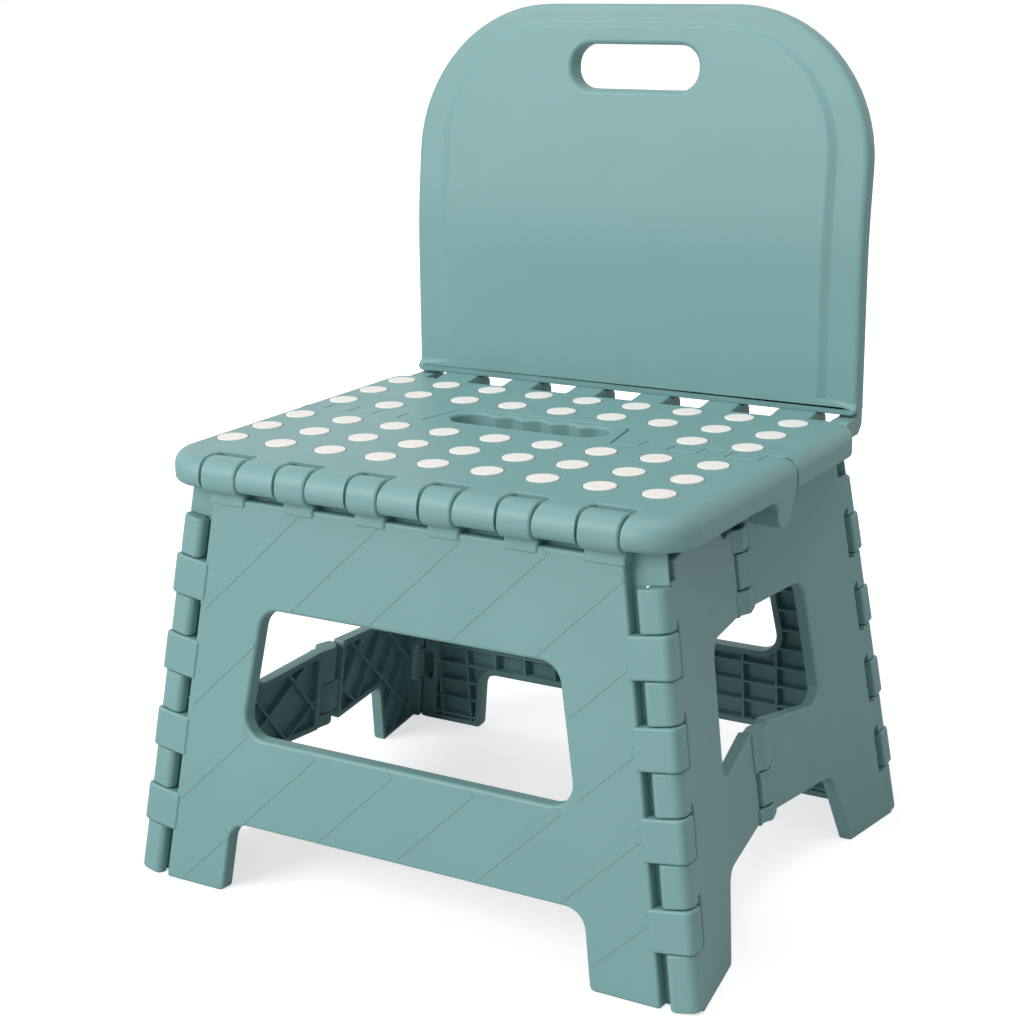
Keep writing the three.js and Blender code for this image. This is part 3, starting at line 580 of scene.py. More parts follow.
def new_tree(name: str, sizes: Sequence[str], with_shape: bool = False) -> bpy.types.NodeTree:
    """Starts a Geometry Nodes tree with named inputs.

    Args:
        name: Name of the tree.
        sizes: Names of its length inputs.
        with_shape: Whether it also takes an object that it repeats.

    Returns:
        The tree, with geometry in and out.
    """
    tree = bpy.data.node_groups.new(name, "GeometryNodeTree")
    face = tree.interface
    face.new_socket("Geometry", in_out="INPUT", socket_type="NodeSocketGeometry")
    for size in sizes:
        face.new_socket(size, in_out="INPUT", socket_type="NodeSocketFloat")
    if with_shape:
        face.new_socket("Shape", in_out="INPUT", socket_type="NodeSocketObject")
    face.new_socket("Finish", in_out="INPUT", socket_type="NodeSocketMaterial")
    face.new_socket("Geometry", in_out="OUTPUT", socket_type="NodeSocketGeometry")
    return tree


def ended(tree: bpy.types.NodeTree, given: bpy.types.Node,
          made: bpy.types.NodeSocket) -> bpy.types.NodeTree:
    """Ends a tree by making its instances real and giving them the finish.

    Args:
        tree: The tree.
        given: Its input node.
        made: The geometry that it has made.

    Returns:
        The same tree.
    """
    real = add_node(tree, "GeometryNodeRealizeInstances", {"Geometry": made})
    dressed = add_node(tree, "GeometryNodeSetMaterial", {
        "Geometry": real.outputs["Geometry"], "Material": given.outputs["Finish"]})
    add_node(tree, "NodeGroupOutput", {"Geometry": dressed.outputs["Geometry"]})
    return tree


def bar_tree() -> bpy.types.NodeTree:
    """Builds the tree that sweeps a trapezium along every edge of a mesh, with closed ends."""
    tree = new_tree("bars_along_edges", ["Foot", "Crest", "Height"])
    given = add_node(tree, "NodeGroupInput")
    curve = add_node(tree, "GeometryNodeMeshToCurve", {"Mesh": given.outputs["Geometry"]})
    upright = add_node(tree, "GeometryNodeSetCurveNormal", {
        "Curve": curve.outputs["Curve"]}, mode="Z_UP")
    profile = add_node(tree, "GeometryNodeCurvePrimitiveQuadrilateral", {
        "Bottom Width": given.outputs["Foot"], "Top Width": given.outputs["Crest"],
        "Height": given.outputs["Height"], "Offset": 0.0}, mode="TRAPEZOID")
    swept = add_node(tree, "GeometryNodeCurveToMesh", {
        "Curve": upright.outputs["Curve"], "Profile Curve": profile.outputs["Curve"],
        "Fill Caps": True})
    return ended(tree, given, swept.outputs["Mesh"])


def dot_tree() -> bpy.types.NodeTree:
    """Builds the tree that sets a shape on every point of a mesh."""
    tree = new_tree("dots_on_points", [], with_shape=True)
    given = add_node(tree, "NodeGroupInput")
    shape = add_node(tree, "GeometryNodeObjectInfo", {
        "Object": given.outputs["Shape"]}, transform_space="ORIGINAL")
    points = add_node(tree, "GeometryNodeMeshToPoints", {"Mesh": given.outputs["Geometry"]})
    copies = add_node(tree, "GeometryNodeInstanceOnPoints", {
        "Points": points.outputs["Points"], "Instance": shape.outputs["Geometry"]})
    return ended(tree, given, copies.outputs["Instances"])


def grown(tree: bpy.types.NodeTree, points: Sequence[Vector], edges: Sequence[tuple[int, int]],
          values: dict[str, object]) -> Body:
    """Runs a tree on a small mesh and gives the result as shells.

    Args:
        tree: The Geometry Nodes tree.
        points: Points of the mesh.
        edges: Its edges.
        values: The tree's inputs, by name.

    Returns:
        The grown shells.
    """
    mesh = bpy.data.meshes.new("seed")
    mesh.from_pydata([tuple(p) for p in points], list(edges), [])
    seed = new_object("seed", mesh)
    modifier = seed.modifiers.new("grow", "NODES")
    modifier.node_group = tree
    sockets = {item.name: item.identifier for item in tree.interface.items_tree
               if item.in_out == "INPUT"}
    for name, value in values.items():
        modifier[sockets[name]] = value
    seen = bpy.context.evaluated_depsgraph_get()
    made = bpy.data.meshes.new_from_object(seed.evaluated_get(seen))
    seed.modifiers.clear()
    body = Body()
    body.points = [v.co.copy() for v in made.vertices]
    body.faces = [tuple(p.vertices) for p in made.polygons]
    bpy.data.objects.remove(seed)
    bpy.data.meshes.remove(made)
    return body


def crossings(lines: Sequence[Segment], loops: Sequence[Sequence[Node]]) -> list[Segment]:
    """Keeps the stretches of lines that lie inside outlines.

    Args:
        lines: Straight lines that start and end outside.
        loops: Outlines, holes among them.

    Returns:
        The stretches inside.
    """
    kept = []
    for start, end in lines:
        along = end - start
        shares = []
        for loop in loops:
            for i, node in enumerate(loop):
                a = Vector((loop[i - 1].x, loop[i - 1].y))
                b = Vector((node.x, node.y))
                turn = along.cross(b - a)
                if abs(turn) < 1e-9:
                    continue
                share = (a - start).cross(b - a) / turn
                other = (a - start).cross(along) / turn
                if 0.0 <= other < 1.0:
                    shares.append(share)
        shares.sort()
        kept += [(start + along * s, start + along * t) for s, t in zip(shares[::2], shares[1::2])]
    return kept


def hatch(angle: float, pitch: float, reach: float, shift: float = 0.0) -> list[Segment]:
    """Draws parallel lines at an angle, a pitch apart, as long and wide as a reach."""
    along = Vector((math.cos(angle), math.sin(angle))) * reach
    across = Vector((-math.sin(angle), math.cos(angle)))
    count = math.ceil(reach / pitch)
    middles = [across * (i * pitch + shift) for i in range(-count, count + 1)]
    return [(m - along, m + along) for m in middles]


def bars(lines: Sequence[Segment], loops: Sequence[Sequence[Node]], z: float,
         profile: BarProfile) -> Body:
    """Sweeps bars along the stretches of lines that lie inside outlines.

    Args:
        lines: Straight lines in the local x and y.
        loops: Outlines, holes among them.
        z: Height of the middle of the bars.
        profile: Their cross-section.

    Returns:
        The bars.
    """
    segments = crossings(lines, loops)
    long_enough = [s for s in segments if (s[1] - s[0]).length > profile.foot]
    points = [Vector((p.x, p.y, z)) for s in long_enough for p in s]
    edges = [(2 * i, 2 * i + 1) for i in range(len(long_enough))]
    return grown(TREES["bar"], points, edges, {
        "Foot": profile.foot, "Crest": profile.crest, "Height": profile.height,
        "Finish": FINISHES[Slot.SHELL]})


def new_object(name: str, data: bpy.types.ID) -> bpy.types.Object:
    """Adds an object to the scene.

    Args:
        name: Name of the object.
        data: Its mesh, lamp or camera.

    Returns:
        The object.
    """
    made = bpy.data.objects.new(name, data)
    bpy.context.scene.collection.objects.link(made)
    return made


def piece(name: str, body: Body, slot: Slot, rides: str, *nodes: str) -> None:
    """Makes an object of some shells and hands it to the frame.

    Args:
        name: Name of the piece.
        body: Its shells, in millimetres.
        slot: The finish.
        rides: The body that it moves with.
        nodes: The CAD nodes that it stands for.
    """
    mesh = bpy.data.meshes.new(name)
    mesh.from_pydata([tuple(p * MM) for p in body.points], [], body.faces)
    mesh.materials.append(FINISHES[slot])
    mesh.shade_smooth()
    mesh.set_sharp_from_angle(angle=math.radians(CREASE_DEG))
    made = new_object(name, mesh)
    weighted = made.modifiers.new("weighted", "WEIGHTED_NORMAL")
    weighted.keep_sharp = True
    seen = bpy.context.evaluated_depsgraph_get()
    baked = bpy.data.meshes.new_from_object(made.evaluated_get(seen), depsgraph=seen)
    made.modifiers.clear()
    made.data = baked
    baked.name = name
    bpy.data.meshes.remove(mesh)
    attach(made, rides)
    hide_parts(*nodes)
    log.info("%s: %d faces, rides on %s", name, len(baked.polygons), rides)


# The chair's shared axes


@dataclass(frozen=True)
class Axes:
    """Hinge axes and panel planes that the parts of the chair share."""

    seat_top: float = 220.0
    half_width: float = 140.5
    hinge_y: float = 110.5
    nose: float = 9.5
    foot_y: float = 130.0
    corner_x: float = 150.0
    corner_rise: float = 1350.0
    apex_x: float = -41.8
    corner_inset: float = 8.5
    mid_x: float = 141.0
    gap: float = 0.35
    side_face: float = 7.4
    side_top_z: float = 199.4
    mid_offset: float = 0.45
    edges: tuple[tuple[float, float], ...] = ((10.8, 29.1), (51.1, 69.8), (91.3, 113.1))
    band_tops: tuple[float, ...] = (26.6, 46.7, 67.0, 87.3, 107.5, 127.6, 147.6, 167.7, 191.0)

    @property
    def hinge_z(self) -> float:
        """Height of the two leg hinges."""
        return self.seat_top - self.nose

    @property
    def knuckles(self) -> list[tuple[float, float]]:
        """Left and right edges of the knuckles of a leg hinge."""
        return [(-b, -a) for a, b in reversed(self.edges)] + list(self.edges)

    @property
    def lean(self) -> float:
        """Slope of a leg panel."""
        return (self.foot_y - self.corner_inset) / self.corner_rise

    @property
    def up_leg(self) -> Vector:
        """Direction up the face of the front leg."""
        return Vector((0.0, self.lean, 1.0)).normalized()

    @property
    def leg_out(self) -> Vector:
        """Direction out of the face of the front leg."""
        return X_AXIS.cross(self.up_leg)

    @property
    def corner_foot(self) -> Vector:
        """Corner axis of the front right corner, at the floor."""
        return Vector((self.corner_x, self.corner_inset - self.foot_y, 0.0))

    @property
    def corner_axis(self) -> Vector:
        """Direction of that corner axis."""
        apex = Vector((self.apex_x, 0.0, self.corner_rise))
        return (apex - self.corner_foot).normalized()

    @property
    def corner_radius(self) -> float:
        """Radius of the corner knuckles, which are flush with the leg's face."""
        return self.corner_inset * self.up_leg.z

    @property
    def corner_clear(self) -> float:
        """Radius of the space that a corner knuckle turns in."""
        return self.corner_radius + self.gap

    @property
    def bands(self) -> list[tuple[float, float]]:
        """Low and high end of each corner knuckle along its axis, from the floor up."""
        steps = (0.0, *self.band_tops)
        rise = self.corner_axis.z
        return [(a / rise + self.gap / 2, b / rise - self.gap / 2)
                for a, b in zip(steps, steps[1:])]


AXES = Axes()
FINISHES: dict[Slot, bpy.types.Material] = {}
TREES: dict[str, bpy.types.NodeTree] = {}


# Legs


@dataclass
class LegPanel:
    """One leg: a trapezium with an opening, ribbed behind, with knuckles on three sides."""

    name: str
    rides: str
    rear: bool = False
    depth: float = 8.0
    skin: float = 2.6
    wall: float = 3.6
    top_z: float = 200.3
    rail_z: float = 203.8
    rail_depth: float = 1.9
    recess: float = 1.5
    proud: float = 0.7
    tab_drop: float = 14.0
    knuckle_gap: float = 0.6
    knuckle_roll: float = 1.6
    block: tuple[float, float] = (-2.2, 8.4)
    block_roll: float = 1.3
    web: tuple[float, float] = (0.47, 1.67)
    web_step: float = 3.25
    web_ends: tuple[float, float] = (-4.6, 7.0)
    foot_inner: float = 104.0
    arch: tuple[float, float, float] = (99.0, 37.0, 11.0)
    opening_top: tuple[float, float] = (81.1, 148.4)
    opening_low: tuple[float, float] = (92.7, 82.8)
    opening_round: float = 11.0
    edge_roll: float = 1.5
    low_radius: float = 4.8
    cell: tuple[float, float] = (20.0, 11.5)
    rib: BarProfile = BarProfile(1.6, 1.2, 5.6)
    ridge: BarProfile = BarProfile(4.4, 0.5, 0.5)
    ridge_pitch: float = 31.0
    ridge_angle: float = math.radians(44.0)
    ridge_margins: tuple[float, float] = (1.9, 2.6)
    ridge_z: float = -0.05

    def at(self, x: float, z: float, *rest: float) -> Corner:
        """Gives a corner of the panel at a height above the floor."""
        return (x, z / AXES.up_leg.z, *rest)

    def edge_x(self, z: float) -> float:
        """Half-width of the panel at a height."""
        across = AXES.corner_axis.cross(AXES.leg_out).x
        slope = (AXES.corner_x - AXES.apex_x) / AXES.corner_rise
        return AXES.corner_x - (AXES.corner_clear + self.recess) / across - slope * z

    def plan(self) -> list[Node]:
        """Draws the panel's outline."""
        arch_x, arch_z, arch_round = self.arch
        right = [
            self.at(arch_x, arch_z, arch_round),
            self.at(self.foot_inner, 0.0, 3.0),
            self.at(self.edge_x(0.0), 0.0, 1.5),
            self.at(self.edge_x(self.top_z), self.top_z, 2.0),
        ]
        left = [(-corner[0], *corner[1:]) for corner in reversed(right)]
        return outline(right + left, self.edge_roll)

    def opening(self) -> list[Node]:
        """Draws the opening, with the panel on its left."""
        corners = [
            self.at(-self.opening_low[0], self.opening_low[1], self.opening_round),
            self.at(self.opening_low[0], self.opening_low[1], self.opening_round),
            self.at(self.opening_top[0], self.opening_top[1], self.opening_round),
            self.at(-self.opening_top[0], self.opening_top[1], self.opening_round),
        ]
        return reversed_loop(outline(corners, 1.9, 10))

    def plate(self) -> Body:
        """Builds the panel with its ribs and, in front, its slanting ridges."""
        loops = [self.plan(), self.opening()]
        body = slab_body(loops, -self.depth, 0.0, 4, None, pockets(loops, self.wall), -self.skin)
        reach = 2.0 * AXES.seat_top
        lines = hatch(math.pi / 2, self.cell[0], reach, self.cell[0] / 2)
        lines += hatch(0.0, self.cell[1], reach, self.cell[1] / 2)
        middle = -self.skin - self.rib.height / 2 + RIB_SINK
        body.add(bars(lines, rib_bounds(loops, self.wall), middle, self.rib))
        if not self.rear:
            ridges = hatch(self.ridge_angle, self.ridge_pitch, reach)
            outer = [inset(loop, margin, 0.0) for loop, margin in zip(loops, self.ridge_margins)]
            body.add(bars(ridges, outer, self.ridge_z, self.ridge))
            body.add(self.rail())
        return body

    def rail(self) -> Body:
        """Builds the thin rail along the back of the top edge, which closes the gap to the seat."""
        half = self.edge_x(self.top_z) - 1.0
        low, high = self.top_z - 3.0, self.rail_z
        corners = [self.at(-half, low), self.at(half, low), self.at(half, high), self.at(-half, high)]
        return slab_body([outline(corners, 0.4, under=0.4)], HAIR - self.depth,
                         self.rail_depth - self.depth, 2)

    def hinge_knuckle(self, start: float, end: float, radius: float) -> Body:
        """Builds a knuckle of the seat hinge, whose arm runs down over the panel.

        Args:
            start: Left end.
            end: Right end.
            radius: Radius of the barrel.

        Returns:
            The knuckle.
        """
        up, out = AXES.up_leg, AXES.leg_out
        place = frame_at(Vector((0.0, -AXES.hinge_y, AXES.hinge_z)), -out, up)
        to_face = Vector((0.0, AXES.foot_y - AXES.hinge_y, AXES.hinge_z)).dot(out)
        front, back = max(to_face - 1.0, -0.7 * radius), to_face + self.depth - 0.3
        chin, low = -0.85 * radius, -self.tab_drop
        shape = outline([
            (-radius, chin, 0.73 * radius), (front, chin, 1.8), (front, low, 0.9), (back, low),
            (back, radius, min(5.5, 0.55 * radius)), (-radius, radius, 0.88 * radius),
        ], self.knuckle_roll, under=self.knuckle_roll)
        half = (end - start) / 2.0
        middle = Matrix.Translation(((start + end) / 2.0, 0.0, 0.0))
        return slab_body([shape], -half, half, 4, middle @ place)

    def corner_frame(self) -> Matrix:
        """Gives the frame of the right corner: x out of the leg, y to the right."""
        out = AXES.leg_out
        return frame_at(AXES.corner_foot, out, AXES.corner_axis.cross(out))

    def corner_knuckle(self, low: float, high: float) -> Body:
        """Builds a squared knuckle of the right corner between two places on its axis."""
        front = AXES.corner_radius + self.proud
        inner = -(AXES.corner_clear + self.recess + 2.4)
        (back, end), neck = self.block, self.web[0]
        shape = outline([
            (neck, inner), (front, inner, 1.0), (front, end, 3.8), (back, end, 1.2),
            (back, -2.0, 1.0), (neck, -3.4, 0.8),
        ], self.block_roll, under=self.block_roll)
        return slab_body([shape], low, high, 4, self.corner_frame())

    def corner_web(self) -> Body:
        """Builds the thin web behind the slots beside and above the right corner's knuckles."""
        inner = -(AXES.corner_clear + self.recess + 2.0)
        rise = AXES.corner_axis.z
        step = AXES.band_tops[-1] / rise - self.web_step
        top = (self.top_z if self.rear else self.rail_z) / rise - 0.2
        back, front = self.web
        body = Body()
        for low, high, edge in zip((1.0, step), (step, top), self.web_ends):
            corners = [(back, inner), (front, inner), (front, edge), (back, edge)]
            web = slab_body([outline(corners, 0.2, under=0.2)], low, high, 1)
            body.add(web, self.corner_frame())
        return body

    def build(self) -> None:
        """Builds the leg and hands it over."""
        whole = Body()
        up = AXES.up_leg
        whole.add(self.plate(), frame_at(Vector((0.0, -AXES.foot_y, 0.0)), X_AXIS, up))
        knuckles = AXES.knuckles
        if self.rear:
            spans = [(b + 1.0, c - 1.0) for (_, b), (c, _) in zip(knuckles, knuckles[1:])]
            radius = self.low_radius
        else:
            spans = [(a + self.knuckle_gap, b - self.knuckle_gap) for a, b in knuckles]
            radius = AXES.nose
        for start, end in spans:
            whole.add(self.hinge_knuckle(start, end, radius))
        corner = self.corner_web()
        for low, high in AXES.bands[1::2]:
            corner.add(self.corner_knuckle(low, high))
        whole.add(corner)
        whole.add(corner, MIRROR_X)
        turned = mirrored(whole.stood_on(HAIR), 1.0, -1.0 if self.rear else 1.0)
        piece(self.name, turned, Slot.SHELL, self.rides, self.name)


# Sides


@dataclass
class SidePanel:
    """Half of a folding side: corner knuckles, a ribbed panel and middle hinge knuckles."""

    front: bool
    depth: float = 6.9
    skin: float = 2.4
    wall: float = 3.4
    mid_radius: float = 7.5
    bulge: float = 3.4
    dip_z: float = 187.0
    dip_y: tuple[float, float] = (38.0, 22.0)
    foot_y: float = 77.0
    arch: tuple[float, float, float] = (64.0, 40.0, 9.0)
    opening_top: tuple[float, float] = (54.0, 147.0)
    opening_low: tuple[float, float, float] = (60.0, 81.0, 87.0)
    mid_low: tuple[float, float, float, float] = (40.0, 48.0, 66.0, 87.0)
    mid_high: tuple[float, float, float, float] = (144.5, 157.0, 175.0, 187.0)
    edge_roll: float = 1.4
    edge: float = 6.0
    scoop: float = 4.2
    nick: float = 1.4
    top_drop: float = 3.2
    top_z: float = 201.4
    tab_roll: float = 0.9
    block: tuple[float, float, float] = (-7.0, -3.5, 1.8)
    block_roll: float = 1.2
    block_lift: float = 0.03
    mid_roll: float = 0.9
    mid_hole: tuple[float, float] = (4.6, -2.4)
    lattice_pitch: float = 24.0
    rib: BarProfile = BarProfile(1.6, 1.2, 4.6)
    normal: Vector = field(init=False)
    across: Vector = field(init=False)
    mid_axis: Vector = field(init=False)

    def __post_init__(self) -> None:
        """Finds the panel's plane: the corner axis lies inside its face, the middle one outside."""
        axis, foot = AXES.corner_axis, AXES.corner_foot
        apex = Vector((AXES.apex_x, 0.0, AXES.corner_rise))
        mid_foot = Vector((AXES.mid_x, 0.0, 0.0))
        self.mid_axis = (apex - mid_foot).normalized()
        square = axis.cross(self.mid_axis).normalized()
        along = axis.cross(square)
        top = mid_foot + self.mid_axis * (AXES.side_top_z / self.mid_axis.z)
        turn = math.asin((AXES.side_face + AXES.mid_offset) / (top - foot).dot(along))
        self.normal = square * math.cos(turn) + along * math.sin(turn)
        self.across = axis.cross(self.normal)

    def spot(self, y: float, z: float, *rest: float) -> Corner:
        """Gives the corner of the outline at a y and z of the outer face."""
        foot, axis = AXES.corner_foot, AXES.corner_axis
        dy = y - foot.y - AXES.side_face * self.normal.y
        dz = z - foot.z - AXES.side_face * self.normal.z
        scale = self.across.y * axis.z - self.across.z * axis.y
        u = (dy * axis.z - dz * axis.y) / scale
        v = (dz * self.across.y - dy * self.across.z) / scale
        return (u, v, *rest)

    def mid_edge(self, z: float, *rest: float) -> Corner:
        """Gives the corner of the outline beside the middle axis, at a height."""
        place = Vector((AXES.mid_x, 0.0, 0.0)) + self.mid_axis * (z / self.mid_axis.z)
        place -= AXES.corner_foot
        clear = self.mid_radius + AXES.gap + AXES.mid_offset
        return (place.dot(self.across) - clear, place.dot(AXES.corner_axis), *rest)

    def plan(self, tabs: bool) -> list[Node]:
        """Draws the panel's outline.

        Args:
            tabs: Whether the tabs that carry the corner knuckles are drawn.

        Returns:
            The anticlockwise outline.
        """
        top = self.spot(AXES.corner_foot.y, self.top_z)[1]
        inside = -1.0 if tabs else self.edge
        scoop, nick, roll = self.scoop, self.nick, self.tab_roll
        steps: list[Corner] = []
        for low, high in reversed(AXES.bands[2::2]):
            steps += [(self.edge, high - nick, nick, roll), (inside, high - nick, 0.0, roll),
                      (inside, low + scoop, 0.0, roll), (self.edge, low + scoop, scoop, roll)]
        first = AXES.bands[0][1] - nick
        steps += [(self.edge, first, nick, roll), (inside, first, 0.0, roll)]
        corners = [
            (inside, self.spot(AXES.corner_foot.y, 0.0)[1]),
            self.spot(-self.foot_y, 0.0, 3.0),
            self.spot(-self.arch[0], self.arch[1], self.arch[2]),
            self.mid_edge(self.mid_low[0], 1.5),
            self.mid_edge(self.opening_low[2], 1.5),
            self.spot(-self.opening_low[0], self.opening_low[1], 8.0),
            self.spot(-self.opening_top[0], self.opening_top[1], 9.0),
            self.mid_edge(self.mid_high[0], 1.5),
            self.mid_edge(self.dip_z, 1.0),
            self.spot(-self.dip_y[1], self.dip_z, 2.0),
            self.spot(-self.dip_y[0], self.top_z, 3.0),
            (self.edge, top, 1.5),
            *(steps if tabs else []),
        ]
        return outline(corners, self.edge_roll, 6)

    def plate(self) -> Body:
        """Builds the panel with the lattice behind it."""
        plain = [self.plan(tabs=False)]
        face = AXES.side_face
        ceiling = face - self.skin
        body = slab_body([self.plan(tabs=True)], face - self.depth, face, 4, None,
                         pockets(plain, self.wall), ceiling)
        lines = hatch(math.pi / 4, self.lattice_pitch, AXES.seat_top)
        lines += hatch(-math.pi / 4, self.lattice_pitch, AXES.seat_top)
        middle = ceiling - self.rib.height / 2 + RIB_SINK
        body.add(bars(lines, rib_bounds(plain, self.wall), middle, self.rib))
        return body

    def corner_knuckle(self, low: float, high: float) -> Body:
        """Builds a corner knuckle, squared towards the leg, between two places on its axis."""
        front, face = -AXES.corner_radius, AXES.side_face + self.block_lift
        back, neck, end = self.block
        shape = outline([
            (back, front, 3.4), (face, front, 5.5), (face, end), (neck, end, 2.0),
            (neck, -2.3), (back, -2.3, 1.0),
        ], self.block_roll, under=self.block_roll)
        place = frame_at(AXES.corner_foot, self.normal, self.across)
        return slab_body([shape], low, high, 4, place)

    def mid_knuckle(self, low: float, high: float) -> Body:
        """Builds a middle knuckle between two heights."""
        square = (self.across - self.mid_axis * self.across.dot(self.mid_axis)).normalized()
        place = frame_at(Vector((AXES.mid_x, 0.0, 0.0)), square.cross(self.mid_axis), square)
        reach = self.mid_radius + AXES.gap + AXES.mid_offset + 3.4
        face = -AXES.mid_offset + 0.1
        back = -self.depth - AXES.mid_offset / 2
        bulge, far = self.bulge, self.mid_radius - 0.2
        start = math.asin(bulge / far)
        places: list[Corner] = [
            (back, -reach), (face, -reach), (face, -far, 3.0), (bulge, -0.45 * far, 3.0),
            *arc(0.0, 0.0, far, math.pi / 2 - start, math.pi / 2 + start, 14)[1:-1],
            (-far, 0.0), (back, -0.3)]
        loops = [outline(places, self.mid_roll, under=self.mid_roll)]
        if high == self.mid_high[-1]:
            radius, x = self.mid_hole
            loops.append(reversed_loop(circle(radius, x, 0.0, 0.5, 24)))
        rise = self.mid_axis.z
        return slab_body(loops, low / rise + AXES.gap, high / rise - AXES.gap, 3, place)

    def build(self) -> None:
        """Builds this half for both sides and hands them over."""
        whole = Body()
        place = frame_at(AXES.corner_foot, self.across, AXES.corner_axis)
        whole.add(self.plate(), place)
        for low, high in AXES.bands[::2]:
            short = self.top_drop if high > AXES.bands[-1][0] else 0.0
            whole.add(self.corner_knuckle(low, high - short))
        for a, b, c, d in (self.mid_low, self.mid_high):
            for low, high in [(a, b), (c, d)] if self.front else [(b, c)]:
                whole.add(self.mid_knuckle(low, high))
        whole.stood_on(HAIR)
        end = "front" if self.front else "rear"
        for side, x in (("right", 1.0), ("left", -1.0)):
            turned = mirrored(whole, x, 1.0 if self.front else -1.0)
            name = f"{side}_{end}_side_panel"
            piece(name, turned, Slot.SHELL, f"{side}_{end}_side", name)


# Seat


